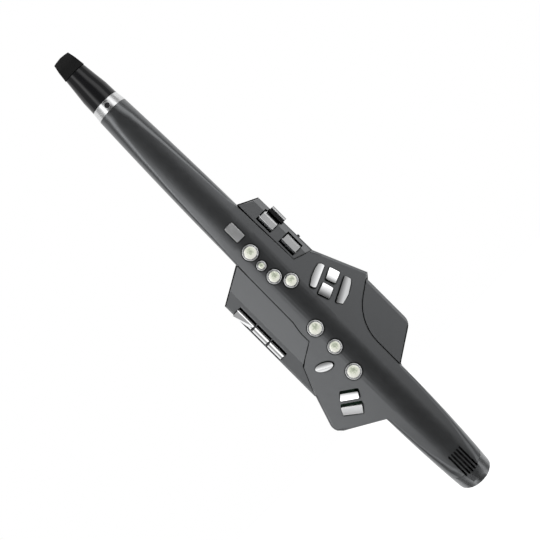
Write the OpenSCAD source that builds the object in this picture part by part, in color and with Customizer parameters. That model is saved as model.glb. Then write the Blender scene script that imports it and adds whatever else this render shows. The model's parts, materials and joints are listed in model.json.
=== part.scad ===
// Digital wind controller: a breath-driven instrument shaped like a straight horn with key wings.
// Every module draws in the bench frame: x to the right as seen from the key side, y from the lip
// of the bell to the tip of the mouthpiece, z from the parting plane towards the player's fingers.
// upright() stands the result on its bell, +Z to the mouthpiece and the keys facing -Y, with the
// origin at the centre of the strap eye.

/* [Covers] */
// Wall thickness of the moulded covers
wall = 2.2; // [1.8:0.1:2.6]
// Gap left between neighbouring mouldings
seam = 0.3; // [0.2:0.05:0.5]
// Half width of the tube at the lip of the bell
bell_half = 18.5; // [17.5:0.5:19.5]
// Half width of the tube where the wings leave it
waist_half = 23.5; // [22.5:0.5:24.5]
// Half width of the neck above the wings
neck_half = 20.6; // [20:0.2:21.2]
// Height of the front cover over the parting plane
body_front = 24; // [23:0.5:25]
// Depth of the rear cover behind the parting plane
body_rear = 28; // [27:0.5:30]
// Radius of the front cover's crown across the body
front_crown_r = 50; // [45:1:60]
// Slope of the front wings outside the crown, in degrees
front_slope = 15; // [13:0.5:17]
// Radius of the rear cover's crown across the body
rear_crown_r = 40; // [36:1:46]
// Slope of the rear wings outside the crown, in degrees
rear_slope = 20; // [18:0.5:22]
// Outer edge of the left side panel, from the centre line
left_edge = 56.5; // [55:0.5:58]
// Outer edge of the right side panel, from the centre line
right_edge = 58.5; // [57:0.5:60]
// Outer edge of the palm key panel, from the centre line
palm_edge = 40; // [39.5:0.1:40.6]

/* [Neck and mouthpiece] */
// Height at which the neck bends back
bend_y = 352; // [350:1:356]
// Backward tilt of the neck, in degrees
neck_tilt = 8.5; // [7:0.5:10]
// Height of the neck's upper end
neck_end_y = 501.7; // [498:0.5:505]
// Radius of the neck ring at its lower end
ring_r = 16.5; // [16:0.1:17]
// Radius of the neck ring at its upper end
ring_top_r = 15.3; // [15:0.1:15.6]
// Height of the neck ring along the neck
ring_h = 10.9; // [10:0.1:12]
// Radius of the tenon that the mouthpiece slides over
tenon_r = 10.6; // [10:0.1:11.2]
// Length of the tenon
tenon_h = 18; // [15:0.5:20]
// Length of the mouthpiece along the neck
mouthpiece_h = 63.6; // [60:0.2:68]
// Half width of the mouthpiece at its tip
tip_half = 8.7; // [8:0.1:9.4]
// Radius of the breath tube
tube_r = 3; // [2.6:0.1:3.2]

/* [Keys] */
// Gap between a key and the hole that it moves in
key_gap = 0.7; // [0.5:0.05:0.9]
// Travel of the pearl keys
pearl_travel = 1.8; // [1.2:0.1:2]
// Travel of the plate keys
plate_travel = 1.5; // [1:0.1:1.8]
// Height of the pearl keys over the cover
pearl_rise = 3.5; // [2.6:0.1:4.5]
// Height of the plate keys over the cover
plate_rise = 2.8; // [2.2:0.1:3.4]
// Radius of the large pearl keys
large_pearl_r = 8; // [7.5:0.1:8.4]
// Radius of the middle pearl keys
middle_pearl_r = 7.2; // [6.6:0.1:7.6]
// Radius of the small pearl key
small_pearl_r = 4.9; // [4.5:0.1:5.2]
// Rim of metal round each pearl
pearl_rim = 1.9; // [1.4:0.1:2.2]
// Radius of the key stems under the covers
stem_r = 2.2; // [1.8:0.1:2.6]
// Radius of the rods that the side and palm keys turn on
rod_r = 1; // [0.8:0.05:1.1]

/* [Speaker and power] */
// Number of sound slots in the bell
slot_count = 5; // [3:1:5]
// Width of a sound slot
slot_w = 1.9; // [1.3:0.1:2]
// Distance between sound slots
slot_pitch = 3.5; // [3.2:0.1:3.8]
// Radius of the speaker
speaker_r = 11; // [10:0.2:11.4]
// Radius of a battery
cell_r = 7.25; // [6.8:0.05:7.3]
// Length of a battery
cell_h = 50.5; // [48:0.5:51]

/* [Holding] */
// Radius of the hole in the strap eye
eye_r = 4.5; // [4:0.1:5]
// Thickness of the strap eye
eye_w = 4; // [3:0.5:6]
// Room for the thumb between the hook and its base
thumb_gap = 30; // [26:0.5:32]
// Width of the thumb hook
hook_w = 16; // [13:0.5:20]
// Radius of the thumb rest
rest_r = 9; // [8:0.5:10]
// Radius of the bore of the headphone jack
jack_bore_r = 1.8; // [1.6:0.05:1.9]

/* [Hidden] */
$fn = 48;

// Heights along the instrument where its form changes
lip_y = 12;
wing_y = 107.3;
flare_y = 130;
full_y = 150;
shoulder_y = 212;
neck_y = bend_y - 22;
bend_run = 14;
base_z = seam / 2;

// Planes of the bell: its oblique end, and the joint between the end cap and the covers
end_slope = 30.8;
joint_slope = 35;
joint_y = 29;

// Centre of the strap eye
eye = [0, 262, -body_rear - 7];

// General helpers

function unit(v) = v / norm(v);
function reversed(v) = [for (i = [len(v) - 1:-1:0]) v[i]];
function rows(points) = [for (p = points) [p[1], abs(p[0])]];

function sorted(v) = len(v) < 2 ? v :
    let (p = v[0], rest = [for (i = [1:1:len(v) - 1]) v[i]])
    concat(sorted([for (x = rest) if (x < p) x]), [p], sorted([for (x = rest) if (x >= p) x]));

// Drops each entry that lies nearer than gap to the last one kept
function spaced(v, gap, i = 1, kept = undef) =
    let (k = is_undef(kept) ? [v[0]] : kept)
    i >= len(v) ? k
        : spaced(v, gap, i + 1, v[i] - k[len(k) - 1] < gap ? k : concat(k, [v[i]]));

// Points of an arc of radius r that rounds corner c between a and b
function fillet(a, c, b, r, n = 5) =
    let (u = unit(a - c), v = unit(b - c), half = acos(u * v) / 2,
         centre = c + unit(u + v) * r / sin(half),
         p = c + u * r / tan(half) - centre, q = c + v * r / tan(half) - centre,
         turn = 180 - 2 * half)
    [for (k = [0:n]) centre + (sin(turn * (1 - k / n)) * p + sin(turn * k / n) * q) / sin(turn)];

// A convex outline with every corner rounded by radius r
function rounded(points, r, n = 3) = let (m = len(points))
    [for (i = [0:m - 1]) each fillet(points[(i + m - 1) % m], points[i], points[(i + 1) % m], r, n)];

// An outline, counterclockwise, moved out by d
function grown(points, d) = let (m = len(points))
    [for (i = [0:m - 1])
        let (b = points[i], u = unit(b - points[(i + m - 1) % m]), v = unit(points[(i + 1) % m] - b),
             nu = [u[1], -u[0]], nv = [v[1], -v[0]])
        b + d * (nu + nv) / (1 + nu * nv)];

// Drop of a crown of radius r that runs out into a straight slope
function drop(x, r, slope) = let (a = abs(x), arc = r * sin(slope))
    a < arc ? r - sqrt(r * r - a * a) : r * (1 - cos(slope)) + (a - arc) * tan(slope);

// Form of the body

function tube_half(y) =
    y < flare_y ? waist_half - (waist_half - bell_half) * pow((flare_y - y) / (flare_y - lip_y), 2)
    : y < shoulder_y ? waist_half
    : y < neck_y ? waist_half + (neck_half - waist_half) * (y - shoulder_y) / (neck_y - shoulder_y)
    : neck_half - (neck_half - ring_r) * pow((y - neck_y) / (neck_end_y - neck_y), 1.6);

function front_top(y) = lookup(y, [[lip_y, bell_half], [wing_y, body_front - 0.6],
    [shoulder_y, body_front], [neck_y, body_front - 0.6], [bend_y + bend_run, neck_half + 0.6],
    [neck_end_y, ring_r]]);
function rear_top(y) = lookup(y, [[lip_y, bell_half], [wing_y, body_rear - 3],
    [full_y, body_rear], [neck_y, body_rear], [bend_y + bend_run, neck_half + 1.5],
    [neck_end_y, ring_r]]);

// Height of the tube's axis, which bends back into the neck
function axis_z(y) = let (u = y - bend_y, b = bend_run)
    -tan(neck_tilt) * (u < -b ? 0 : u < b ? (u + b) * (u + b) / (4 * b) : u);

function front_z(x, y) = axis_z(y) + front_top(y) - drop(x, front_crown_r, front_slope);
function rear_z(x, y) = axis_z(y) - rear_top(y) + drop(x, rear_crown_r, rear_slope);

// Outlines of the wings, as corners in bench x and y
pinky_corner = [-68.2, 132.8];
left_low = [-left_edge + 0.3, 170];
left_top = [-left_edge, 293.2];
left_joint = [-20.8, 313.8];
cover_knee = [-44.2, 199.5];
cover_shoulder = [-waist_half + 0.1, shoulder_y];
cover_jog = [[-waist_half + 0.1, 224], [-waist_half + 2.1, 236]];
table_tip = [63.4, 219.6];
palm_low = [palm_edge + 1, 272];
palm_foot = [22, 278];
palm_high = [palm_edge - 0.1, 344.4];
palm_joint = [neck_half - 0.2, 354];
right_step = [right_edge, 216.3];
right_corner_r = 12;
right_low = [right_edge, 158];
right_joint = [waist_half, 134.7];
cover_bend = [waist_half - 0.2, 192.5];

function tube_rows(y0, y1, step) = [for (y = [y0:step:y1]) [y, tube_half(y)]];
tube_foot = -6;
tube_low = tube_rows(tube_foot, 102, 12);
tube_high = tube_rows(bend_y + bend_run, neck_end_y + 9, 12);

pinky_line = concat([[-waist_half, wing_y]],
    fillet([-waist_half, wing_y], pinky_corner, left_low, 11));
front_left = concat(tube_low,
    rows(concat(pinky_line, [left_low, [-left_edge + 1.9, 174.5], cover_knee, cover_shoulder],
        cover_jog)),
    tube_rows(314, 354, 10), tube_high);
front_right = concat(tube_low, tube_rows(112, 134, 11),
    rows(concat(fillet([waist_half - 0.2, 135], cover_bend, table_tip, 50, 7),
        [table_tip, palm_low, palm_foot])),
    tube_rows(312, 354, 14), tube_high);
rear_left = concat(tube_low,
    rows(concat(pinky_line, [left_low], fillet(left_low, left_top, left_joint, 4, 3),
        [left_joint])),
    tube_rows(322, 354, 16), tube_high);
rear_right = concat(tube_low, tube_rows(112, 134, 11),
    rows(concat([right_joint], fillet(right_joint, right_low, right_step, right_corner_r),
        [right_step, table_tip, palm_low], fillet(palm_low, palm_high, palm_joint, 3, 3),
        [palm_joint])),
    tube_high);

// Width and height of the rounded edge of each cover, along the instrument
front_left_e = [[0, 17], [12, 16.5], [30, 9], [60, 4], [100, 3], [108, 2.2], [170, 2.2], [176, 0.6],
    [290, 0.6], [312, 1.6], [345, 3], [400, 4.8], [450, 7.5], [neck_end_y - 12, 11], [neck_end_y, 14]];
front_right_e = [[0, 17], [12, 16.5], [30, 9], [60, 4], [100, 3], [134, 2.2], [138, 0.6], [213, 0.6],
    [221, 2.2], [269, 2.2], [274, 0.6], [350, 0.8], [360, 3.4], [400, 4.8], [450, 7.5],
    [neck_end_y - 12, 11], [neck_end_y, 14]];
front_h = [[0, 18], [12, 17.5], [30, 14], [60, 9], [100, 5], [108, 3.5], [300, 3.5], [345, 8],
    [400, 10], [450, 12], [neck_end_y - 12, 14], [neck_end_y, 15.8]];
rear_e = [[0, 17], [12, 16.5], [30, 10], [60, 8], [107, 6], [130, 5], [300, 5], [345, 8], [400, 9],
    [450, 10], [neck_end_y - 12, 12], [neck_end_y, 14]];
rear_h = [[0, 18], [12, 17.5], [30, 14], [60, 12], [107, 9], [130, 6], [300, 6], [345, 12],
    [400, 13], [neck_end_y - 12, 14], [neck_end_y, 15.8]];

// Distance of an outline from the centre line at height y, once the outline is moved in by t
function reach(line, y, t) = t <= 0 ? lookup(y, line)
    : min([for (k = [-4:4]) let (d = t * k / 4) lookup(y + d, line) - sqrt(t * t - d * d)]);

// Path of one half of a section, from beside the centre line to the foot, as [x, height]
function half_path(side, line, y, inset, e, h, top, foot, crown_r, slope, arcs, bends) =
    let (edge = min(e, reach(line, y, inset) - 1.5),
         crown_end = reach(line, y, inset + edge),
         arc = min(crown_r * sin(slope), 0.75 * crown_end),
         shoulder = top - drop(crown_end, crown_r, slope),
         fall = min(h, shoulder - foot - 0.5))
    concat(
        [for (k = [1:arcs]) let (x = arc * k / arcs) [side * x, top - drop(x, crown_r, slope)]],
        [for (k = [0:bends]) let (a = 90 * k / bends)
            [side * reach(line, y, inset + edge * (1 - sin(a))), shoulder - fall * (1 - cos(a))]],
        [[side * reach(line, y, inset), foot]]);

// Closed path of a cover's section: the outer skin from left foot to right foot, and back inside
function section(y, left, right, e_left, e_right, h, top, crown_r, slope) =
    let (el = lookup(y, e_left), er = lookup(y, e_right), hh = lookup(y, h), inner = top - wall)
    concat(
        reversed(half_path(-1, left, y, 0, el, hh, top, base_z, crown_r, slope, 4, 5)),
        [[0, top]],
        half_path(1, right, y, 0, er, hh, top, base_z, crown_r, slope, 4, 5),
        reversed(half_path(1, right, y, wall, er, hh, inner, base_z, crown_r, slope, 2, 2)),
        [[0, inner]],
        half_path(-1, left, y, wall, el, hh, inner, base_z, crown_r, slope, 2, 2));

// Skin through a list of rings with equal numbers of points. A ring that isn't convex runs out
// along its outer path and back along its inner one, and match gives the inner point that faces
// each outer point, so that its two end caps are strips of triangles.
module loft(rings, match = undef) {
    n = len(rings[0]);
    m = len(rings);
    skin = [for (i = [0:m - 2], j = [0:n - 1]) let (a = i * n + j, b = i * n + (j + 1) % n)
        each [[b, a, a + n], [b + n, b, a + n]]];
    cap = is_undef(match) ? [[for (j = [0:n - 1]) j]]
        : [for (i = [0:len(match) - 2]) let (a = n - 1 - match[i], b = n - 1 - match[i + 1])
            each b < a ? [[i, i + 1, a], [i + 1, b, a]] : [[i, i + 1, a]]];
    polyhedron([for (r = rings) each r],
        concat(cap, skin, [for (f = cap) [for (j = reversed(f)) j + (m - 1) * n]]));
}

// Inner point that faces each outer point of a cover's section: one for every two
outer_n = 23;
inner_n = 13;
facing = [for (i = [0:outer_n - 1]) i < outer_n / 2 ? floor((i + 1) / 2)
    : inner_n - 1 - floor((outer_n - i) / 2)];

function stations(left, right) = spaced(sorted([for (p = concat(left, right,
    [for (y = [118:16:348]) [y]])) if (p[0] > tube_foot - 1) p[0]]), 2.4);

module front_shell() {
    loft([for (y = stations(front_left, front_right))
        [for (p = section(y, front_left, front_right, front_left_e, front_right_e, front_h,
            front_top(y), front_crown_r, front_slope)) [p[0], y, axis_z(y) + p[1]]]], facing);
}

module rear_shell(low = tube_foot - 1, high = neck_end_y + 20) {
    loft([for (y = stations(rear_left, rear_right)) if (y > low && y < high)
        [for (p = section(y, rear_right, rear_left, rear_e, rear_e, rear_h,
            rear_top(y), rear_crown_r, rear_slope)) [-p[0], y, axis_z(y) - p[1]]]], facing);
}

// Whole round of the bell, moved in by inset, in the same steps as one skin of the covers
module bell_round(inset, arcs, bends) {
    loft([for (y = [tube_foot:12:tube_foot + 60])
        let (half = tube_half(y) - inset, line = [[tube_foot - 3, half], [99, half]],
             top = front_top(y) - inset,
             front = [for (side = [-1, 1]) half_path(side, line, y, 0, lookup(y, front_left_e),
                 lookup(y, front_h), top, 0, front_crown_r, front_slope, arcs, bends)],
             back = [for (side = [-1, 1]) half_path(side, line, y, 0, lookup(y, rear_e),
                 lookup(y, rear_h), rear_top(y) - inset, 0, rear_crown_r, rear_slope, arcs,
                 bends)])
        [for (p = concat(reversed(front[0]), [[0, top]], front[1])) [p[0], y, p[1]],
         for (p = concat([for (i = [len(back[1]) - 2:-1:0]) back[1][i]],
             [[0, rear_top(y) - inset]], [for (i = [0:len(back[0]) - 2]) back[0][i]]))
             [p[0], y, -p[1]]]]);
}

// Half space below a plane across the tube, sloping down to the front
module below(y, slope) {
    translate([0, y, 0]) rotate([slope, 0, 0]) translate([-40, -80, -60]) cube([80, 80, 120]);
}

// Place on the neck's axis, s along it from the bend, local -y to the front
module at_neck(s) {
    translate([0, bend_y, 0]) rotate([-90 - neck_tilt, 0, 0]) translate([0, 0, s]) children();
}
ring_s = (neck_end_y - bend_y) / cos(neck_tilt);
seat_s = ring_s + ring_h;

// Place on the front cover with z along the surface's normal
function front_tilt(x) = abs(x) < 12.8 ? 0 : sign(x) * front_slope;
module on_front(c) {
    translate([c[0], c[1], front_z(c[0], c[1])]) rotate([0, front_tilt(c[0]), 0]) children();
}

// Place on the rear cover with z along the surface's outward normal
module on_rear(c) {
    tilt = abs(c[0]) < 13.6 ? 0 : sign(c[0]) * rear_slope;
    translate([c[0], c[1], rear_z(c[0], c[1])]) rotate([0, 180 - tilt, 0]) children();
}

// Outline extruded from height a to height b
module slab(points, a, b) {
    translate([0, 0, a]) linear_extrude(b - a) polygon(points);
}

// Outline in x and z extruded along y from a to b
module beam(points, a, b) {
    translate([0, b, 0]) rotate([90, 0, 0]) linear_extrude(b - a) polygon(points);
}

module block(low, high) {
    translate(low) cube(high - low);
}

module upright() {
    rotate([90, 0, 0]) translate(-eye) children();
}

// Keys

b_spot = [-3, 312];
bis_spot = [-4.3, 295.7];
a_spot = [-3, 279.7];
g_spot = [6, 265.7];
f_spot = [-10, 217];
e_spot = [-9.3, 191.3];
d_spot = [-13.3, 162];
PEARLS = [[b_spot, large_pearl_r], [bis_spot, small_pearl_r], [a_spot, middle_pearl_r],
    [g_spot, middle_pearl_r], [f_spot, large_pearl_r], [e_spot, middle_pearl_r],
    [d_spot, large_pearl_r]];

// Plate keys: centre, outline in bench x and y, direction and radius of the barrel, and the
// distance of its crest from the centre, which leans the plate
FRONT_F = [[0, 336.4], [[-5, 327.5], [5, 327.5], [5, 345.3], [-5, 345.3]], 90, 90, 0];
TABLE_GS = [[27, 251.5], [[17, 244.2], [38.2, 253.3], [37.5, 256.5], [35.5, 258.7], [30, 257.6],
    [22, 254.5], [14.7, 249.5], [15.3, 246.5]], 24, 32, -4];
TABLE_CS = [[22, 235.3], [[18.5, 227.6], [29, 231.7], [26, 242.7], [14.8, 239.3]], 108, 40, 3];
TABLE_B = [[37, 241], [[33, 233.7], [44.3, 238.3], [40.7, 248.7], [29.7, 243.5]], 108, 48, 0];
TABLE_BB = [[34, 224], [[25, 215], [35, 217.5], [44, 223], [46.8, 226], [45, 232.7],
    [21, 221.3]], 26, 32, 6];
PINKY_EB = [[-32.5, 147.9], [[-26.8, 140], [-23.3, 145.7], [-37.5, 155.5], [-42.3, 150.5]], 145, 32, 3];
PINKY_C = [[-39.8, 136.5], [[-34.5, 127], [-29, 134.5], [-45.7, 146], [-50, 138.5]], 145, 32, -6];
HIGH_FS = [[-29.8, 184.7], [for (a = [0:15:345]) [-29.8, 184.7]
    + [8.9 * cos(a) * cos(27) + 4.2 * sin(a) * sin(27),
       -8.9 * cos(a) * sin(27) + 4.2 * sin(a) * cos(27)]], -27, 20, 0];
PLATES = [FRONT_F, TABLE_GS, TABLE_CS, TABLE_B, TABLE_BB, PINKY_EB, PINKY_C, HIGH_FS];

// Boards: the key switches stand on the upper one
key_board_z = 5;
board_t = 1.6;
dome_h = 1.2;
stem_end = key_board_z + board_t + dome_h + pearl_travel + 0.3;

function pearl_top(spot) = front_z(spot[0], spot[1]) + pearl_rise;
plate_depth = wall + plate_travel + 0.3;

// Outline of a plate key in the frame of on_front(), counterclockwise
function plate_outline(key, r = 1) =
    let (c = key[0], t = cos(front_tilt(c[0])),
         flat = [for (p = key[1]) [(p[0] - c[0]) / t, p[1] - c[1]]])
    len(flat) > 20 ? flat : rounded(flat, r, 3);

// Silver cup of a pearl key with its stem
module pearl_cup(spot, r) {
    top = pearl_top(spot);
    seat = r - pearl_rim;
    translate([spot[0], spot[1], top]) rotate_extrude() polygon([[0, -5.4], [r - 0.3, -5.4],
        [r, -5.1], [r, -0.8], [r - 0.25, -0.25], [r - 0.8, 0], [seat + 0.5, 0], [seat, -0.4],
        [seat, -1.6], [0, -1.6]]);
    translate([spot[0], spot[1], stem_end]) cylinder(r = stem_r, h = top - 5 - stem_end);
}

// Domed pearl that lies in its cup
module pearl_disc(spot, r) {
    seat = r - pearl_rim - 0.1;
    crown = 0.8;
    ball = (seat * seat + crown * crown) / (2 * crown);
    translate([spot[0], spot[1], pearl_top(spot) - 1.6]) intersection() {
        cylinder(r = seat, h = 1.4 + crown);
        translate([0, 0, 1.4 + crown - ball]) sphere(r = ball, $fn = 96);
    }
}

// Barrel-topped plate with its stem
module plate_key(key) {
    c = key[0];
    barrel = key[3];
    crest = [-key[4] * sin(key[2]), key[4] * cos(key[2]), -sqrt(barrel * barrel - key[4] * key[4])];
    stem = (front_z(c[0], c[1]) - stem_end) / cos(front_tilt(c[0]));
    on_front(c) {
        intersection() {
            slab(plate_outline(key), -plate_depth, plate_rise + 1);
            translate([0, 0, plate_rise] + crest) rotate([0, 90, key[2]])
                translate([0, 0, -40]) cylinder(r = barrel, h = 80, $fn = 96);
        }
        translate([0, 0, -stem]) cylinder(r = stem_r, h = stem - plate_depth + 0.5);
    }
}

// Hole in the front cover for a plate key
module plate_hole(key) {
    on_front(key[0]) slab(grown(plate_outline(key), key_gap), -8, 6);
}

// Recess that shows beside the pinky keys
pinky_recess = [1.2, 1.7];

// Covers

// Sound slots, which run down into the end cap
module slots() {
    for (i = [0:slot_count - 1]) {
        x = (i - (slot_count - 1) / 2) * slot_pitch;
        low = 13.4 + 0.16 * abs(x);
        block([x - slot_w / 2, low + slot_w / 2, 8], [x + slot_w / 2, 40 - slot_w / 2, 30]);
        for (y = [low + slot_w / 2, 40 - slot_w / 2])
            translate([x, y, 8]) cylinder(d = slot_w, h = 22, $fn = 24);
    }
}

// Screws: place, and the slope of the front and of the rear across the boss
SCREWS = [[14, 205], [-57, 143], [54.5, 223], [33, 152], [50, 175], [-32, 222], [-36, 290],
    [30, 340.5]];
screw_r = 1.5;
boss_r = 3.4;

// Height under the front mouldings at which a boss may end
function boss_top(c) = let (out = abs(c[0]) + boss_r)
    min(front_z(out, c[1]) - 0.4, c[0] < -23 && c[1] > shoulder_y ? left_top_z(-out) - 0.4 : 99,
        c[0] > 23 && c[1] < shoulder_y ? right_top_z(out) - 0.4 : 99,
        c[0] > 20 && c[1] > palm_low[1] ? palm_top_z(out) - 0.4 : 99);
function boss_foot(c) = rear_z(abs(c[0]) + boss_r, c[1]) + 0.1;

module front_boss(c) {
    difference() {
        translate([c[0], c[1], base_z]) cylinder(r = boss_r, h = boss_top(c) - base_z);
        translate([c[0], c[1], -1]) cylinder(r = screw_r + 0.05, h = 8);
    }
}

module rear_boss(c) {
    foot = boss_foot(c);
    translate([c[0], c[1], foot]) cylinder(r = boss_r, h = -base_z - foot);
}

head_depth = 3.6;
module screw_bore(c) {
    foot = boss_foot(c);
    translate([c[0], c[1], foot - 6]) cylinder(r = 2.7, h = 6 + head_depth);
    translate([c[0], c[1], foot]) cylinder(r = screw_r + 0.3, h = 60);
}

module case_screw(c) {
    head = boss_foot(c) + head_depth;
    difference() {
        union() {
            translate([c[0], c[1], head - 1.8]) cylinder(r = 2.5, h = 1.8);
            translate([c[0], c[1], head]) cylinder(r = screw_r, h = 5 - head);
        }
        translate([c[0], c[1], head - 3]) for (a = [0, 90]) rotate([0, 0, a])
            translate([-1.5, -0.35, 0]) cube([3, 0.7, 2.1]);
    }
}

// Posts under the front cover that hold the speaker and the key board
SPEAKER_POSTS = [[-9, 34], [9, 34]];
BOARD_POSTS = [[-15, 250], [14, 300], [-13, 330], [12, 180], [8, 140], [-27, 162]];
post_r = 2.2;

module front_post(c, low) {
    high = front_z(c[0], c[1]) - wall / 2 - 0.5;
    translate([c[0], c[1], low]) cylinder(r = post_r, h = high - low);
}

module front_cover() {
    color([0.2, 0.21, 0.22]) {
        difference() {
            front_shell();
            below(joint_y + seam / 2, joint_slope);
            at_neck(ring_s) translate([-30, -40, 0]) cube([60, 80, 30]);
            for (p = PEARLS) translate([p[0][0], p[0][1], 12])
                cylinder(r = p[1] + key_gap, h = 20);
            for (k = PLATES) plate_hole(k);
            for (k = [PINKY_EB, PINKY_C]) translate(pinky_recess) plate_hole(k);
            slots();
        }
        for (i = [0:2]) front_boss(SCREWS[i]);
        for (c = BOARD_POSTS) front_post(c, key_board_z + board_t + 0.1);
        for (c = SPEAKER_POSTS) front_post(c, speaker_z + 0.1);
    }
}

// Rear furniture: places on the rear cover
rest_spot = [0, 297];
octave_up_spot = [0, 318];
octave_down_spot = [0, 277.5];
octave_half = [8, 5.5];
octave_travel = 1.5;
hook_y = [222, 246];
lever_spot = [0, 210.5];
drum_r = 6;
knob_spot = [40, 186];
window_spot = [38, 243];
window_half = [12, 7];
rocker_spot = [40, 215];
rocker_half = [3.2, 8.5];
rocker_deep = 3;
switch_y = 291;
switch_half = 1.5;
switch_travel = 2;
switch_z = -4;
door = [[-14.5, 46], [14.5, 46], [14.5, 200], [-14.5, 200]];

function box_outline(half) = [[-half[0], -half[1]], [half[0], -half[1]], [half[0], half[1]],
    [-half[0], half[1]]];
function pill(half, n = 6) = rounded(box_outline(half), min(half[0], half[1]) - 0.05, n);

main_board_z = -3;
MAIN_POSTS = [[-14, 222], [14, 222], [-14, 318], [14, 318]];
main_board_y = [214, 340];

module rear_cover() {
    color([0.17, 0.18, 0.19]) difference() {
        union() {
            rear_shell();
            for (c = SCREWS) rear_boss(c);
            for (c = MAIN_POSTS) {
                low = rear_z(c[0], c[1]) + wall / 2;
                translate([c[0], c[1], low]) cylinder(r = post_r, h = main_board_z - 0.1 - low);
            }
            for (s = [-1, 1]) lever_lug(s);
        }
        for (c = SCREWS) screw_bore(c);
        below(joint_y + seam / 2, joint_slope);
        at_neck(ring_s) translate([-30, -40, 0]) cube([60, 80, 30]);
        slab(grown(door, seam), -40, -7);
        translate([rest_spot[0], rest_spot[1], -body_rear - 2])
            cylinder(r = rest_r + seam, h = 3);
        for (c = [octave_up_spot, octave_down_spot]) on_rear(c)
            slab(grown(pill(octave_half), key_gap), -8, 6);
        block([-5.6, lever_spot[1] - 7.8, -40], [5.6, lever_spot[1] + 7.8, -18]);
        at_lever() translate([0, 0, -20]) cylinder(r = shaft_r + 0.15, h = 40);
        on_rear(window_spot) slab(grown(rounded(box_outline(window_half), 1.5), seam), -1.2, 6);
        on_rear(rocker_spot) slab(grown(pill(rocker_half), 0.6), -8, 6);
        on_rear(knob_spot) translate([0, 0, -8]) cylinder(r = 2.3, h = 16);
        block([palm_edge - 6, switch_y - switch_half - switch_travel - 0.3, switch_z - 1.3],
            [palm_edge + 4, switch_y + switch_half + switch_travel + 0.3, switch_z + 1.3]);
    }
}

// Top surface of the left side panel: inner facet, outer facet and edge bevel, as [x, z]
left_line = [[-left_edge, 4], [-left_edge + 1.7, 6.3], [-42.5, 14], [-21.1, 19.2]];
right_line = [[waist_half + 0.1, 20.4], [right_edge - 2.5, 11.9], [right_edge, 8]];
palm_line = [[neck_half + 0.5, 18.4], [34.5, 15], [palm_edge - 0.2, 6], [palm_edge + 1, 5]];
function left_top_z(x) = lookup(x, left_line);
function right_top_z(x) = lookup(x, right_line);
function palm_top_z(x) = lookup(x, palm_line);

// Section of a panel under its top line, counterclockwise in x and z, down to a base
function under(line, base) = let (n = len(line))
    concat([[line[0][0], base], [line[n - 1][0], base]], reversed(line));

// Closed tray with the given plan and top line
module panel(plan, line) {
    y0 = min([for (p = plan) p[1]]) - 1;
    y1 = max([for (p = plan) p[1]]) + 1;
    difference() {
        intersection() {
            beam(under(line, base_z), y0, y1);
            slab(plan, -5, 30);
        }
        intersection() {
            beam(grown(under(line, -12), -wall), y0, y1);
            slab(grown(plan, -wall), -5, 30);
        }
    }
}

// Wedge that bevels a panel along the plan edge from p to q, w wide and h deep at the edge
module edge_bevel(p, q, line, w, h) {
    zp = lookup(p[0], line);
    zq = lookup(q[0], line);
    run = norm(q - p);
    turn = atan2(q[1] - p[1], q[0] - p[0]);
    translate([p[0], p[1], zp]) rotate([0, 0, turn]) rotate([0, -atan2(zq - zp, run), 0])
        translate([-3, 0, 0]) rotate([90, 0, 90]) linear_extrude(run + 6)
            polygon([[-w, 0.3], [1, -h - h / w], [2, 8], [-w, 8]]);
}

left_plan = [[-left_edge, 170.6], cover_knee + [-0.25, 0.25], cover_shoulder + [-0.25, 0.35],
    cover_jog[0] + [-0.25, 0], cover_jog[1] + [-0.25, 0], [-21.1, 313.3], left_top];
module left_side_panel() {
    crease = [-42.5, left_top[1] + (left_edge - 42.5) * 0.577];
    color([0.33, 0.34, 0.35]) {
        difference() {
            union() {
                difference() {
                    panel(left_plan, left_line);
                    edge_bevel([-21.1, 313.3], crease, left_line, 3, 4.5);
                    edge_bevel(crease, left_top, left_line, 2.6, 3.5);
                    for (k = SIDE_KEYS) block([side_pocket[0], k[0] - key_gap, -1],
                        [side_pocket[1], k[1] + key_gap, 30]);
                    block([-70, SIDE_KEYS[0][0] + 3, 3.2],
                        [side_pocket[0] + 1, SIDE_KEYS[0][1] + key_gap, 30]);
                }
                for (y = [SIDE_KEYS[2][0] - 4.2, SIDE_KEYS[0][1] + 1.2])
                    rod_lug(side_axis, y, left_line);
            }
            rod_bore(side_axis, SIDE_KEYS[2][0] - 5, SIDE_KEYS[0][1] + 5);
        }
        for (c = [SCREWS[5], SCREWS[6]]) front_boss(c);
    }
}

// Lug under a panel that holds the end of a pivot rod
lug_half = 2.4;
module rod_lug(axis, y, line) {
    beam([[axis[0] - lug_half, axis[1] - lug_half], [axis[0] + lug_half, axis[1] - lug_half],
        [axis[0] + lug_half, lookup(axis[0] + lug_half, line) - wall / 2],
        [axis[0] - lug_half, lookup(axis[0] - lug_half, line) - wall / 2]], y, y + 3);
}

// Bore for a pivot rod through the ribs and lugs of a panel
module rod_bore(axis, y0, y1) {
    translate([axis[0], y0, axis[1]]) rotate([-90, 0, 0]) cylinder(r = rod_r + 0.1, h = y1 - y0);
}

right_foot = right_joint + [0.1, 0.5];
right_plan = concat([right_foot], fillet(right_foot, right_low, right_step, right_corner_r),
    [right_step - [0, 0.4]],
    reversed(fillet([waist_half + 0.1, 135], cover_bend + [0.3, -0.2], table_tip + [0.3, -0.5], 50, 9)));
module right_side_panel() {
    color([0.24, 0.25, 0.26]) {
        difference() {
            panel(right_plan, right_line);
            edge_bevel([waist_half, 134.9], [53, 154.4], right_line, 1.6, 2.4);
        }
        for (c = [SCREWS[3], SCREWS[4]]) front_boss(c);
    }
}

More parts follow.
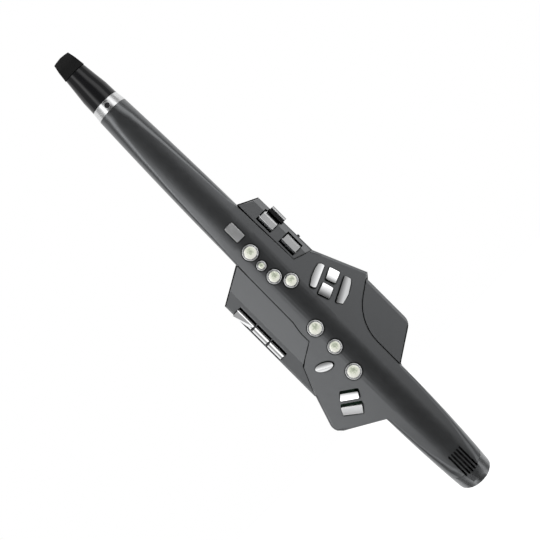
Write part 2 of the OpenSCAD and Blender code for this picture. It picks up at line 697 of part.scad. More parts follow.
palm_plan = [palm_foot + [0.2, 0.36], palm_low + [-0.05, 0.4], palm_high, [neck_half, 353.6]];
module palm_key_panel() {
    color([0.28, 0.29, 0.3]) {
        difference() {
            union() {
                difference() {
                    panel(palm_plan, palm_line);
                    edge_bevel(palm_high + [0, 0.2], [neck_half, 353.6], palm_line, 2.6, 4);
                    for (k = PALM_KEYS) block([palm_pocket[0], k[0] - key_gap, -1],
                        [palm_pocket[1], k[1] + key_gap + 0.8, 30]);
                    block([palm_f_wall, PALM_F[0] - 0.5, -1], [60, PALM_F[1] + 0.5, 30]);
                }
                for (y = [PALM_KEYS[1][0] - 4.2, PALM_KEYS[1][1] + 3.4, PALM_KEYS[0][1] + 2])
                    rod_lug(palm_axis, y, palm_line);
            }
            rod_bore(palm_axis, PALM_KEYS[1][0] - 4.2, PALM_KEYS[0][1] + 5.2);
        }
        front_boss(SCREWS[7]);
    }
}

module end_cap() {
    lip = 3;
    color([0.3, 0.31, 0.32]) difference() {
        union() {
            intersection() {
                bell_round(0, 4, 5);
                below(joint_y - seam / 2, joint_slope);
            }
            intersection() {
                bell_round(wall + 0.4, 2, 2);
                below(joint_y + lip, joint_slope);
            }
        }
        difference() {
            bell_round(wall + 1.6, 2, 2);
            below(lip_y + wall + 0.6, end_slope);
        }
        below(lip_y, end_slope);
        slots();
        at_end(jack_spot) translate([0, 0, -20]) cylinder(r = jack_r + 0.05, h = 30);
        at_end(port_spot) slab(pill([5, 2]), -20, 10);
    }
}

// Place on the oblique end of the bell, z out of the face
jack_spot = [-6.5, 1];
port_spot = [6.5, 1];
jack_r = 3;
module at_end(c) {
    translate([0, lip_y, 0]) rotate([90 + end_slope, 0, 0])
        translate([c[0], c[1], 0]) children();
}

// Neck

module neck_ring() {
    collar_r = ring_r - wall - 1.8;
    color([0.75, 0.76, 0.78]) at_neck(ring_s) difference() {
        union() {
            cylinder(r1 = ring_r, r2 = ring_top_r, h = ring_h, $fn = 96);
            translate([0, 0, -8]) cylinder(r = collar_r, h = 8.5);
            translate([0, 0, ring_h - 0.5]) cylinder(r = tenon_r, h = tenon_h + 0.5);
        }
        translate([0, 0, -9]) cylinder(r = collar_r - 2, h = 12);
        translate([0, 0, -10]) cylinder(r = tube_r + 0.15, h = 60);
        translate([0, 0, ring_h + tenon_h - 12]) cylinder(r = tenon_r - 2.4, h = 14);
        translate([0, 0, ring_h + tenon_h - 7]) difference() {
            cylinder(r = tenon_r + 1, h = 3);
            translate([0, 0, -1]) cylinder(r = seal_inner, h = 5);
        }
        translate([0, -9, ring_h / 2]) rotate([90, 0, 0]) cylinder(r = 2.8, h = 20);
    }
}

seal_inner = tenon_r - 1.2;
module tenon_seal() {
    color([0.1, 0.1, 0.1]) at_neck(seat_s + tenon_h - 5.5) rotate_extrude()
        translate([seal_inner + 0.85, 0]) circle(r = 0.8, $fn = 24);
}

bore_gap = 0.45;
// Sections of the mouthpiece: distance from the ring, half width, front and back radius
function mouth_rows() = [[0, ring_top_r, ring_top_r, ring_top_r],
    [0.22, 14.9, 15, 14.6], [0.44, 13.3, 12.6, 13.2], [0.64, 11.9, 8.6, 12.2],
    [0.83, 10.5, 1.5, 11.4], [1, tip_half, -8.2, 10.9]];
function mouth_section(row, from, to) = [for (a = [from:10:to])
    let (depth = sin(a) > 0 ? row[3] : row[2],
         mid = row[2] < 0 ? (row[3] - row[2]) / 2 : 0,
         y = row[2] < 0 ? mid + (row[3] + row[2]) / 2 * sin(a) : depth * sin(a))
    [row[1] * cos(a), y]];

// Section between two rows, f of the way to the tip
function mouth_ring(f, from, to) =
    let (m = mouth_rows(), i = max([for (j = [0:len(m) - 2]) if (m[j][0] <= f) j]),
         t = (f - m[i][0]) / (m[i + 1][0] - m[i][0]), w = tip_width((1 - f) * mouth_l))
    [for (p = mouth_section(m[i], from, to) * (1 - t) + mouth_section(m[i + 1], from, to) * t)
        [w * p[0], p[1]]];
mouth_l = mouthpiece_h - 0.15;
tip_round = 30;
tip_drop = tip_round - sqrt(tip_round * tip_round - tip_half * tip_half);
function tip_width(d) = d > tip_drop ? 1 : sqrt(2 * tip_round * d - d * d) / tip_half;
PAD_RINGS = concat([0.655, 0.7, 0.74, 0.785, 0.83, 0.875, 0.92, 0.95],
    [for (d = [tip_drop, tip_drop * 0.6, tip_drop * 0.25, 0.05]) 1 - d / mouth_l]);

module mouthpiece() {
    color([0.06, 0.06, 0.07]) at_neck(seat_s + 0.15) difference() {
        loft([for (f = concat([0, 0.22, 0.44, 0.64], PAD_RINGS)) [for (p = mouth_ring(f, 0, 350))
            [p[0], p[1], f * mouth_l]]]);
        translate([0, 0, -1]) cylinder(r = tenon_r + bore_gap, h = tenon_h + 1.6);
        translate([0, 0, tenon_h - 1]) cylinder(r1 = tenon_r - 2, r2 = 2.4, h = 16);
        translate([0, 4.5, tenon_h + 8]) rotate([-8, 0, 0]) cylinder(r1 = 2.4, r2 = 0.9, h = 50);
        translate([-9, reed_y, mouthpiece_h * 0.36]) cube([18, 20, 60]);
    }
}

// Height along the neck of the flat table that the reed lies on
reed_y = 10.4;
module reed() {
    top = mouthpiece_h - 0.6;
    low = mouthpiece_h * 0.36 + 0.3;
    color([0.13, 0.13, 0.14]) at_neck(seat_s + 0.15) difference() {
        translate([-8.4, 0, 0]) rotate([0, 90, 0]) linear_extrude(16.8)
            polygon([[-low, reed_y + 0.05], [-top, reed_y + 0.05], [-top, reed_y + 0.7],
                [-low - 20, reed_y + 2.4], [-low, reed_y + 2.4]]);
        difference() {
            translate([-15, 0, mouth_l - 4]) cube([30, 20, 6]);
            translate([0, 30, mouth_l - tip_round - 0.3]) rotate([90, 0, 0])
                cylinder(r = tip_round, h = 40, $fn = 96);
        }
    }
}

module bite_pad() {
    t = 0.9;
    color([0.09, 0.09, 0.1]) at_neck(seat_s + 0.15)
        loft([for (f = PAD_RINGS)
            let (skin = [for (q = mouth_ring(f, 180, 360)) q * 1.006 - [0, 0.14]])
            [for (p = concat([for (q = skin) q - t * [-q[0] / 22, 1]], reversed(skin)))
                [p[0], p[1], f * mouth_l]]], [for (i = [0:18]) i]);
}

module breath_tube() {
    color([0.85, 0.86, 0.88]) at_neck(tube_s) difference() {
        cylinder(r = tube_r, h = ring_s + ring_h + 2 - tube_s);
        translate([0, 0, -1]) cylinder(r = tube_r - 1.2, h = ring_s + 30);
    }
}

// Inside: the breath tube starts on the nipple of the pressure sensor

tube_s = -7;
key_board_plan = [[-16, 122], [-30, 122], [-52, 134], [-56, 142], [-50, 168], [-42, 194],
    [-18, 206], [-15.5, 345], [15.5, 345], [15.5, 274], [34, 264], [54, 224], [40, 212],
    [20, 196], [17, 122]];
module key_board() {
    color([0.1, 0.35, 0.2]) {
        difference() {
            slab(reversed(key_board_plan), key_board_z, key_board_z + board_t);
            translate([SCREWS[0][0], SCREWS[0][1], 0]) cylinder(r = boss_r + 0.6, h = 10);
            for (i = [1, 2]) translate([SCREWS[i][0], SCREWS[i][1], 0])
                cylinder(r = boss_r + 0.6, h = 10);
        }
        for (p = concat(PEARLS, PLATES)) {
            c = p[0];
            lean = (front_z(c[0], c[1]) - stem_end) * tan(front_tilt(c[0]));
            shift = len(p) == 2 ? 0 : lean;
            translate([c[0] - shift, c[1], key_board_z + board_t]) cylinder(r = 3, h = dome_h);
        }
    }
}

module main_board() {
    y0 = main_board_y[0];
    y1 = main_board_y[1];
    color([0.08, 0.3, 0.17]) {
        block([-17, y0, main_board_z], [17, y1, main_board_z + board_t]);
        for (chip = [[26, 8], [68, 5]]) block([-chip[1], y0 + chip[0], main_board_z + board_t],
            [chip[1], y0 + chip[0] + 2 * chip[1], main_board_z + board_t + 1.5]);
        block([-6, y1 - 10, main_board_z + board_t - 0.1], [6, y1 + 4, 4.6]);
        at_neck(tube_s - 2) cylinder(r = tube_r - 1.3, h = 7);
        for (c = [octave_up_spot, octave_down_spot])
            translate([c[0], c[1], main_board_z - dome_h]) cylinder(r = 3, h = dome_h + 0.1);
    }
}

speaker_y = 30.4;
speaker_z = 12.9;
module speaker() {
    z = speaker_z;
    color([0.15, 0.15, 0.16]) translate([0, speaker_y, 0]) rotate_extrude() polygon([[0, 3],
        [speaker_r * 0.55, 3], [speaker_r * 0.55, 7], [speaker_r - 1.5, z - 2.4],
        [speaker_r, z - 1.4], [speaker_r, z], [speaker_r - 1.6, z], [speaker_r * 0.4, z - 4],
        [0, z - 3]]);
}

cell_z = -9.8;
cell_x = cell_r + 0.3;
cell_y = 46.5;
cell_pitch = cell_h + 0.4;
module batteries() {
    color([0.55, 0.6, 0.3]) for (s = [-1, 1], i = [0:2]) {
        translate([s * cell_x, cell_y + i * cell_pitch, cell_z]) rotate([-90, 0, 0]) {
            cylinder(r = cell_r, h = cell_h - 1.5);
            cylinder(r = 2.8, h = cell_h);
        }
    }
}

module battery_holder() {
    end = cell_y + 3 * cell_pitch;
    floor_z = cell_z + cell_r + 0.3;
    color([0.12, 0.12, 0.13]) {
        block([-17, cell_y - 2, floor_z], [17, end + 2, floor_z + 1.2]);
        for (y = [cell_y - 2, end + 0.4]) block([-15, y, cell_z], [15, y + 1.6, floor_z + 0.1]);
    }
}

module battery_cover() {
    color([0.15, 0.16, 0.17]) {
        intersection() {
            rear_shell(door[0][1] - 14, door[2][1] + 14);
            slab(door, -45, -5);
        }
    }
}

// Back of the instrument

module strap_eye() {
    color([0.7, 0.71, 0.73]) translate(eye) difference() {
        union() {
            rotate([0, 90, 0]) translate([0, 0, -eye_w / 2]) cylinder(r = eye_r + 3, h = eye_w);
            block([-eye_w / 2, -eye_r - 3, 0], [eye_w / 2, eye_r + 3, eye_foot]);
            block([-7, -8.5, eye_foot - 1.8], [7, 8.5, eye_foot]);
        }
        block([-9, -9, eye_foot], [9, 9, eye_foot + 9]);
        rotate([0, 90, 0]) translate([0, 0, -20]) cylinder(r = eye_r, h = 40);
    }
}
eye_foot = -body_rear - eye[2] - 0.05;

module thumb_rest() {
    color([0.12, 0.12, 0.13]) translate([rest_spot[0], rest_spot[1], -body_rear + 0.95])
        rotate([180, 0, 0]) difference() {
            rotate_extrude() polygon([[0, 0], [rest_r, 0], [rest_r, 2.4], [rest_r - 0.8, 3.2],
                [0, 3.2]]);
            translate([0, 0, 32.4]) sphere(r = 30, $fn = 96);
        }
}

module thumb_hook() {
    base = -body_rear - 0.05;
    t = 3.5;
    r = thumb_gap / 2;
    top = hook_y[1] - 3;
    color([0.13, 0.13, 0.14]) {
        block([-9, hook_y[0], base - t], [9, hook_y[1], base]);
        translate([-hook_w / 2, top - r, base - t - r]) rotate([90, 0, 90])
            linear_extrude(hook_w) difference() {
                union() {
                    circle(r = r + t, $fn = 96);
                    translate([-5, -r - t]) square([5, t]);
                }
                circle(r = r, $fn = 96);
                translate([-40, -r]) square([40, 40]);
            }
    }
}

// Place on the lever's shaft, z along it
lever_z = 3.4 - body_rear;
shaft_r = 1.5;
module at_lever() {
    translate([0, lever_spot[1], lever_z]) rotate([0, 90, 0]) children();
}

module lever_lug(s) {
    x0 = s > 0 ? 6 : -9;
    block([x0, lever_spot[1] - 3.5, lever_z - 5], [x0 + 3, lever_spot[1] + 3.5, lever_z + 3.5]);
}

module thumb_lever() {
    color([0.12, 0.12, 0.13]) {
        at_lever() {
            translate([0, 0, -5]) cylinder(r = drum_r, h = 10);
            translate([0, 0, -8.8]) cylinder(r = shaft_r, h = 17.6);
            translate([12, 0, -5]) cylinder(r = 1.9, h = 10, $fn = 24);
        }
        translate([0, lever_spot[1], lever_z]) block([-5, -1.4, -12], [5, 1.4, 0]);
    }
}

module octave_key(c) {
    color([0.7, 0.71, 0.73]) on_rear(c) {
        intersection() {
            slab(pill(octave_half), -wall - 2.2, 3);
            translate([0, 0, 2.6 - 24]) rotate([0, 90, 0]) translate([0, 0, -20])
                cylinder(r = 24, h = 40, $fn = 96);
        }
        stem = body_rear + main_board_z - dome_h - octave_travel - 0.3;
        translate([0, 0, -stem]) cylinder(r = stem_r, h = stem - wall - 1);
    }
}
module octave_up_key() { octave_key(octave_up_spot); }
module octave_down_key() { octave_key(octave_down_spot); }

module volume_knob() {
    color([0.1, 0.1, 0.11]) on_rear(knob_spot) difference() {
        union() {
            translate([0, 0, 0.4]) cylinder(r = 7, h = 4.6);
            translate([0, 0, 0.4]) cylinder(r1 = 7, r2 = 6.4, h = 5.2);
            translate([0, 0, -6]) cylinder(r = 2, h = 7);
        }
        for (a = [0:24:336]) rotate([0, 0, a]) translate([7.5, 0, 0]) cylinder(r = 0.9, h = 7, $fn = 16);
    }
}

module display_window() {
    color([0.05, 0.06, 0.07]) on_rear(window_spot)
        slab(rounded(box_outline(window_half), 1.5), -1.15, 0.05);
}

module value_rocker() {
    color([0.1, 0.1, 0.11]) on_rear(rocker_spot) {
        intersection() {
            slab(pill(rocker_half), -3.4, 3);
            translate([0, 0, 1.9 - 60]) rotate([0, 90, 0]) translate([0, 0, -20])
                cylinder(r = 60, h = 40, $fn = 96);
        }
        translate([0, 0, -rocker_deep]) rotate([0, 90, 0]) translate([0, 0, -rocker_half[0] + 0.4])
            cylinder(r = 1.6, h = 2 * rocker_half[0] - 0.8);
    }
}

module power_switch() {
    y0 = switch_y - switch_half;
    y1 = switch_y + switch_half;
    color([0.08, 0.08, 0.09]) {
        block([palm_edge - 3.4, y0, switch_z - 1], [palm_edge + 2.2, y1, switch_z + 1]);
        block([palm_edge - 3.6, y0 - 3, switch_z - 2], [palm_edge - 2.6, y1 + 3, switch_z + 2]);
    }
}

module phones_jack() {
    color([0.08, 0.08, 0.09]) at_end(jack_spot) difference() {
        union() {
            translate([0, 0, -12]) cylinder(r = 4.2, h = 12 - wall - 0.8);
            translate([0, 0, -12]) cylinder(r = jack_r, h = 12.2);
        }
        translate([0, 0, -14]) cylinder(r = jack_bore_r, h = 20);
    }
}

module usb_port() {
    color([0.7, 0.71, 0.73]) at_end(port_spot) difference() {
        slab(pill([4.6, 1.6]), -8, -0.3);
        slab(pill([4.1, 1.1]), -6.5, 2);
        translate([0, 0, 0]) slab(box_outline([2.8, 0.35]), -20, -6);
    }
}

module case_screws() {
    color([0.3, 0.3, 0.32]) for (c = SCREWS) case_screw(c);
}

// Side and palm keys

side_axis = [-50.3, 5.8];
side_pocket = [-55.8, -46.4];
// Lower and upper end of each side key
SIDE_KEYS = [[260, 281.2], [239.8, 257.6], [219.6, 237.4]];
side_round = [-49.4, 7.9];
side_section = concat([[-52.6, 3.4], [side_round[0] + 0.5, 4]],
    [for (a = [84:16:180]) side_round + [5.6 * cos(a), 6.2 * sin(a)]], [[-55, 5.4]]);

module side_key(k, section) {
    color([0.75, 0.76, 0.78]) difference() {
        union() {
            beam(section, k[0], k[1]);
            children();
        }
        translate([side_axis[0], k[0] - 1, side_axis[1]]) rotate([-90, 0, 0])
            cylinder(r = rod_r + 0.12, h = k[1] - k[0] + 2);
    }
}

// Outer lobe of the upper side key, which stands out over the edge of the panel
module side_e_key() {
    k = SIDE_KEYS[0];
    side_key(k, side_section) {
        loft([for (f = [0, 1]) [for (p = [[-54.4 - 3.4 * f, 7.2],
            [-54.4 - 3.4 * f, 9.2], [-51.2, 14.2], [-51.2, 8.4]])
            [p[0], k[0] + 0.5 + f * (k[1] - k[0] - 0.5), p[1]]]]);
    }
}
module side_c_key() { side_key(SIDE_KEYS[1], side_section); }
module side_bb_key() { side_key(SIDE_KEYS[2], side_section); }

palm_axis = [27.9, 10.4];
palm_pocket = [23.6, 37.3];
PALM_KEYS = [[312.8, 330], [282, 299.4]];
palm_section = [[26.2, 8.4], [34, 6.4], [36.4, 9.4], [34.5, 17], [33.7, 17.9], [27.8, 19.4],
    [25.3, 16.6], [25.3, 9.6]];

module palm_key(k) {
    color([0.75, 0.76, 0.78]) difference() {
        beam(palm_section, k[0], k[1]);
        translate([palm_axis[0], k[0] - 1, palm_axis[1]]) rotate([-90, 0, 0])
            cylinder(r = rod_r + 0.12, h = k[1] - k[0] + 2);
    }
}
module palm_d_key() { palm_key(PALM_KEYS[1]); }
module palm_eb_key() { palm_key(PALM_KEYS[0]); }

// Palm key that is pushed in from the side: a black arm with a metal touch plate
PALM_F = [310.6, 328.4];
palm_f_wall = 36.9;
palm_f_travel = 1;
module palm_f_key() {
    color([0.1, 0.1, 0.11])
        block([palm_f_wall + palm_f_travel + 0.1, PALM_F[0], 1.2], [palm_edge + 2.2, PALM_F[1], 8]);
    color([0.75, 0.76, 0.78]) beam(rounded([[palm_edge + 2, -5], [palm_edge + 4.6, -4],
        [palm_edge + 4.6, 8], [palm_edge + 2, 10]], 0.6), PALM_F[0], PALM_F[1]);
}

module pivot_rods() {
    color([0.6, 0.61, 0.63]) {
        translate([side_axis[0], SIDE_KEYS[2][0] - 4, side_axis[1]]) rotate([-90, 0, 0])
            cylinder(r = rod_r, h = SIDE_KEYS[0][1] - SIDE_KEYS[2][0] + 8);
        translate([palm_axis[0], PALM_KEYS[1][0] - 4, palm_axis[1]]) rotate([-90, 0, 0])
            cylinder(r = rod_r, h = PALM_KEYS[0][1] - PALM_KEYS[1][0] + 8.8);
    }
}

// Pearl and plate keys, one by one

silver = [0.75, 0.76, 0.78];
nacre = [0.88, 0.9, 0.85];
module b_key() { color(silver) pearl_cup(b_spot, large_pearl_r); }
module b_pearl() { color(nacre) pearl_disc(b_spot, large_pearl_r); }
module bis_key() { color(silver) pearl_cup(bis_spot, small_pearl_r); }
module bis_pearl() { color(nacre) pearl_disc(bis_spot, small_pearl_r); }
module a_key() { color(silver) pearl_cup(a_spot, middle_pearl_r); }
module a_pearl() { color(nacre) pearl_disc(a_spot, middle_pearl_r); }
module g_key() { color(silver) pearl_cup(g_spot, middle_pearl_r); }
module g_pearl() { color(nacre) pearl_disc(g_spot, middle_pearl_r); }
module f_key() { color(silver) pearl_cup(f_spot, large_pearl_r); }
module f_pearl() { color(nacre) pearl_disc(f_spot, large_pearl_r); }
module e_key() { color(silver) pearl_cup(e_spot, middle_pearl_r); }
module e_pearl() { color(nacre) pearl_disc(e_spot, middle_pearl_r); }
module d_key() { color(silver) pearl_cup(d_spot, large_pearl_r); }
module d_pearl() { color(nacre) pearl_disc(d_spot, large_pearl_r); }
module front_f_key() { color(silver) plate_key(FRONT_F); }
module table_gs_key() { color(silver) plate_key(TABLE_GS); }
module table_cs_key() { color(silver) plate_key(TABLE_CS); }
module table_b_key() { color(silver) plate_key(TABLE_B); }
module table_bb_key() { color(silver) plate_key(TABLE_BB); }
module pinky_eb_key() { color(silver) plate_key(PINKY_EB); }
module pinky_c_key() { color(silver) plate_key(PINKY_C); }
module high_fs_key() { color(silver) plate_key(HIGH_FS); }

upright() front_cover();
upright() rear_cover();
upright() left_side_panel();
upright() right_side_panel();
upright() palm_key_panel();
upright() end_cap();
upright() neck_ring();
upright() tenon_seal();
upright() mouthpiece();
upright() bite_pad();
upright() reed();
upright() breath_tube();
upright() main_board();
upright() key_board();
upright() speaker();
upright() battery_holder();
upright() batteries();
upright() battery_cover();
upright() strap_eye();
upright() thumb_rest();
upright() thumb_hook();
upright() thumb_lever();
upright() octave_up_key();
upright() octave_down_key();
upright() volume_knob();
upright() display_window();
upright() value_rocker();
upright() power_switch();
upright() phones_jack();
upright() usb_port();
upright() case_screws();
upright() pivot_rods();
upright() b_key();
upright() b_pearl();
upright() bis_key();
upright() bis_pearl();
upright() a_key();
upright() a_pearl();
upright() g_key();
upright() g_pearl();
upright() f_key();
upright() f_pearl();
upright() e_key();
upright() e_pearl();
upright() d_key();
upright() d_pearl();
upright() front_f_key();
upright() palm_d_key();
upright() palm_eb_key();
upright() palm_f_key();
upright() side_e_key();
upright() side_c_key();
upright() side_bb_key();
upright() table_gs_key();
upright() table_cs_key();
upright() table_b_key();
upright() table_bb_key();
upright() pinky_eb_key();
upright() pinky_c_key();
upright() high_fs_key();
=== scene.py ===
"""Looks of a digital wind controller: satin covers, plated keys, pearls and a black mouthpiece."""

import json
from math import atan2, cos, pi, radians, sin, sqrt

import bmesh
import bpy
from bpy.props import FloatProperty, FloatVectorProperty, IntProperty, PointerProperty
from bpy.types import Operator, Panel, PropertyGroup
from mathutils import Matrix, Vector


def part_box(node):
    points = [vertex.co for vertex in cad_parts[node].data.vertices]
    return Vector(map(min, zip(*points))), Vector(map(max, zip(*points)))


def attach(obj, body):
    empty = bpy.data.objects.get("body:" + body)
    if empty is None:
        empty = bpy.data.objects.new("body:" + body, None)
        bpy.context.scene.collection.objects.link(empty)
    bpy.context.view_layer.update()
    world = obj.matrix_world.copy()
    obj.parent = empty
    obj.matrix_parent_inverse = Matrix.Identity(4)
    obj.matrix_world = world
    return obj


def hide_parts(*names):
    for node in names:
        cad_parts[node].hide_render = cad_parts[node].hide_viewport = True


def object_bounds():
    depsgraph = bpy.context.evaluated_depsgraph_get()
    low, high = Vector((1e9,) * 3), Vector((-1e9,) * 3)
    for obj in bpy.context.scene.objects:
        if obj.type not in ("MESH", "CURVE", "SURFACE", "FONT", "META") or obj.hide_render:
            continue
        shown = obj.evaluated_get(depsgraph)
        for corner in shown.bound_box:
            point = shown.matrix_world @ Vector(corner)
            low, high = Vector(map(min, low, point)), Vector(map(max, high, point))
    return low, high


bl_info = {
    "name": "Wind Controller",
    "version": (1, 0, 0),
    "blender": (4, 5, 0),
    "location": "3D View > Sidebar > Wind Controller",
    "description": "Dresses the packed wind controller and sets up its studio",
    "category": "Object",
}

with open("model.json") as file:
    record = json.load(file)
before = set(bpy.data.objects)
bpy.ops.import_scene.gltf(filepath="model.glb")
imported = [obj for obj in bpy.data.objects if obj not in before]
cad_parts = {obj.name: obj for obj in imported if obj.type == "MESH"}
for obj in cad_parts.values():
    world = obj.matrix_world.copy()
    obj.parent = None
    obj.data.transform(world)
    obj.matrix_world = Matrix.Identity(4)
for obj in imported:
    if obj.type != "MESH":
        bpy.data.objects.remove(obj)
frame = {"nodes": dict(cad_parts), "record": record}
CAD_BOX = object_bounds()

BODY_OF = {n: b for b, nodes in frame["record"]["behaviour"]["bodies"].items() for n in nodes}

PEARL_KEYS = ("b", "bis", "a", "g", "f", "e", "d")
# How many degrees the crown of each plate key leans, sideways and down, its edge radius in mm,
# and its finish, where the darker copy of the plating is painted shade
PLATE_KEYS = {"front_f_key": (0, 0, 0.3, "brushed_plating"),
              "table_gs_key": (4, 0, 0.7, "plating"), "table_cs_key": (0, 7, 0.7, "plating"),
              "table_b_key": (5, 0, 0.7, "plating"), "table_bb_key": (-5, 9, 0.7, "shaded_plating"),
              "pinky_eb_key": (-4, 0, 0.7, "plating"),
              "pinky_c_key": (-4, 8, 0.7, "brushed_plating"),
              "high_fs_key": (0, 0, 0.7, "shaded_plating")}
LEVER_KEYS = ("side_e_key", "side_c_key", "side_bb_key", "palm_d_key", "palm_eb_key")
NECK_TILT = radians(8.5)

# Brightness of the studio sweep by its angle in degrees, left to right
SWEEP = ((-100, 0.16), (-66, 0.16), (-56, 0.28), (-48, 1), (-38, 1), (-32, 0.58), (-25, 0.19),
         (-18, 0.06), (0, 0.04), (20, 0.04), (27, 0.1), (33, 0.34), (42, 0.72), (60, 0.72),
         (70, 0.16), (100, 0.16))
SWEEP_RADIUS = 2.7
SWEEP_HEIGHT = 5
SWEEP_HOLE = 0.25
FLOOR_SIZE = 12
# Glow that lifts the lit floor to white
FLOOR_LIFT = 0.5

MM = 0.001
STEM_RADIUS = 2.2 * MM
# Degrees between two faces past which their edge is sharp
EDGE_ANGLE = 32
# Two points closer than this are one
WELD = 2e-6
# Where a Noise Texture's values mostly lie
NOISE_SPAN = (0.3, 0.7)


# Settings


class CoverSettings(PropertyGroup):
    front_color: FloatVectorProperty(
        name="Front Cover", description="Paint of the front cover",
        subtype="COLOR", size=3, min=0, max=1, default=(0.145, 0.149, 0.153))
    rear_color: FloatVectorProperty(
        name="Rear Cover", description="Colour of the grained rear cover",
        subtype="COLOR", size=3, min=0, max=1, default=(0.05, 0.052, 0.054))
    cap_color: FloatVectorProperty(
        name="End Cap", description="Paint of the glossier end cap",
        subtype="COLOR", size=3, min=0, max=1, default=(0.2, 0.205, 0.21))
    # The side key panel's paint is a lighter copy of the front cover's: painted light for the
    # brighter left side
    left_lit_color: FloatVectorProperty(
        name="Left Panel", description="Paint of the side key panel",
        subtype="COLOR", size=3, min=0, max=1, default=(0.19, 0.195, 0.2))
    right_color: FloatVectorProperty(
        name="Right Panel", description="Paint of the right side panel",
        subtype="COLOR", size=3, min=0, max=1, default=(0.145, 0.149, 0.153))
    palm_color: FloatVectorProperty(
        name="Palm Panel", description="Paint of the palm key panel",
        subtype="COLOR", size=3, min=0, max=1, default=(0.17, 0.174, 0.178))
    paint_roughness: FloatProperty(
        name="Paint Roughness", description="Roughness of the satin paint",
        min=0.1, max=0.9, default=0.31, subtype="FACTOR")
    edge_radius: FloatProperty(
        name="Edge Radius", description="Rounding of the moulded edges",
        min=0.0001, max=0.001, default=0.00025, unit="LENGTH")


class KeySettings(PropertyGroup):
    plating_color: FloatVectorProperty(
        name="Plating", description="Colour of the bright plated keys",
        subtype="COLOR", size=3, min=0, max=1, default=(0.86, 0.865, 0.87))
    plating_roughness: FloatProperty(
        name="Plating Roughness", description="Roughness of the bright plating",
        min=0.02, max=0.5, default=0.1, subtype="FACTOR")
    nacre_color: FloatVectorProperty(
        name="Pearl", description="Main colour of the pearls",
        subtype="COLOR", size=3, min=0, max=1, default=(0.74, 0.8, 0.63))
    pearl_crown: FloatProperty(
        name="Pearl Crown", description="Height of a pearl's dome over its edge",
        min=0.0002, max=0.0015, default=0.0008, unit="LENGTH")
    spin_steps: IntProperty(
        name="Spin Steps", description="Steps round a turned piece", min=24, max=128, default=64)


class NeckSettings(PropertyGroup):
    black_color: FloatVectorProperty(
        name="Mouthpiece", description="Colour of the polished mouthpiece",
        subtype="COLOR", size=3, min=0, max=1, default=(0.008, 0.008, 0.009))
    pad_color: FloatVectorProperty(
        name="Bite Pad", description="Colour of the rubber bite pad",
        subtype="COLOR", size=3, min=0, max=1, default=(0.006, 0.006, 0.006))


class StudioSettings(PropertyGroup):
    lens: FloatProperty(
        name="Lens", description="Focal length of the camera", min=50, max=800, default=600)
    view_width: FloatProperty(
        name="View Width", description="Width of the view at the object",
        min=0.3, max=1.0, default=0.5175, unit="LENGTH")
    floor_drop: FloatProperty(
        name="Floor Drop", description="Distance of the floor below the object",
        min=0.0, max=0.5, default=0.1, unit="LENGTH")
    left_power: FloatProperty(
        name="Left Light", description="Power of the main soft light on the left",
        min=0, max=500, default=36, unit="POWER")
    right_power: FloatProperty(
        name="Right Light", description="Power of the soft light on the right",
        min=0, max=500, default=20, unit="POWER")
    surround: FloatProperty(
        name="Surround", description="Light of the white surround on the object",
        min=0, max=1, default=0.6)
    sweep_light: FloatProperty(
        name="Sweep", description="Brightness of the graded sweep at its white",
        min=0, max=4, default=2.38)


def settings(context, group):
    """The property group of a name, with what the user has set."""
    return getattr(context.scene, group)


# Meshes


def new_object(name, bm, smooth_angle=EDGE_ANGLE):
    """Makes an object of a bmesh, shaded smooth but for the edges sharper than an angle."""
    for face in bm.faces:
        face.smooth = True
    mesh = bpy.data.meshes.new(name)
    bm.to_mesh(mesh)
    bm.free()
    mesh.set_sharp_from_angle(angle=radians(smooth_angle))
    obj = bpy.data.objects.new(name, mesh)
    bpy.context.scene.collection.objects.link(obj)
    return obj


def merged_copy(node, flat_angle=0.2):
    """A copy of a node's mesh with its doubles merged and its flat stretches joined."""
    bm = bmesh.new()
    bm.from_mesh(frame["nodes"][node].data)
    bmesh.ops.remove_doubles(bm, verts=bm.verts, dist=WELD)
    bmesh.ops.dissolve_limit(bm, angle_limit=radians(flat_angle), verts=bm.verts, edges=bm.edges)
    return bm


def carry(obj, node, material):
    """Lets an object stand for a node: it takes a material, rides on the node's body and hides the
    node.
    """
    obj.data.materials.clear()
    obj.data.materials.append(material)
    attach(obj, BODY_OF[node])
    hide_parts(node)
    return obj


def round_edges(obj, radius, segments=2, angle=EDGE_ANGLE):
    """Rounds the sharp edges with live modifiers."""
    bevel = obj.modifiers.new("edges", "BEVEL")
    bevel.limit_method = "ANGLE"
    bevel.angle_limit = radians(angle)
    bevel.width = radius
    bevel.segments = segments
    bevel.use_clamp_overlap = True
    bevel.miter_outer = "MITER_ARC"
    normals = obj.modifiers.new("normals", "WEIGHTED_NORMAL")
    normals.keep_sharp = True


def refined(node, material, radius=0.0, segments=2, angle=EDGE_ANGLE, smooth_angle=EDGE_ANGLE):
    """A merged copy of a node with rounded edges, in a node's place."""
    obj = new_object(node + "_skin", merged_copy(node), smooth_angle)
    if radius:
        round_edges(obj, radius, segments, angle)
    return carry(obj, node, material)


def context_update():
    """Lets the places that were just set reach the objects' matrices."""
    bpy.context.view_layer.update()


def turned(profile, steps, matrix):
    """A closed form spun from its profile, a list of (radius, height), about a local Z axis."""
    bm = bmesh.new()
    verts = [bm.verts.new((r, 0, z)) for r, z in profile]
    edges = [bm.edges.new(pair) for pair in zip(verts, verts[1:])]
    bmesh.ops.spin(bm, geom=verts + edges, cent=(0, 0, 0), axis=(0, 0, 1), angle=2 * pi,
                   steps=steps, use_merge=True)
    bmesh.ops.remove_doubles(bm, verts=bm.verts, dist=WELD / 2)
    bmesh.ops.recalc_face_normals(bm, faces=bm.faces)
    bm.transform(matrix)
    return bm


def arc(centre, radius, start, end, count):
    """Points of an arc in a profile, angles in degrees."""
    angles = [radians(start + (end - start) * k / count) for k in range(count + 1)]
    return [(centre[0] + radius * cos(a), centre[1] + radius * sin(a)) for a in angles]


# Materials


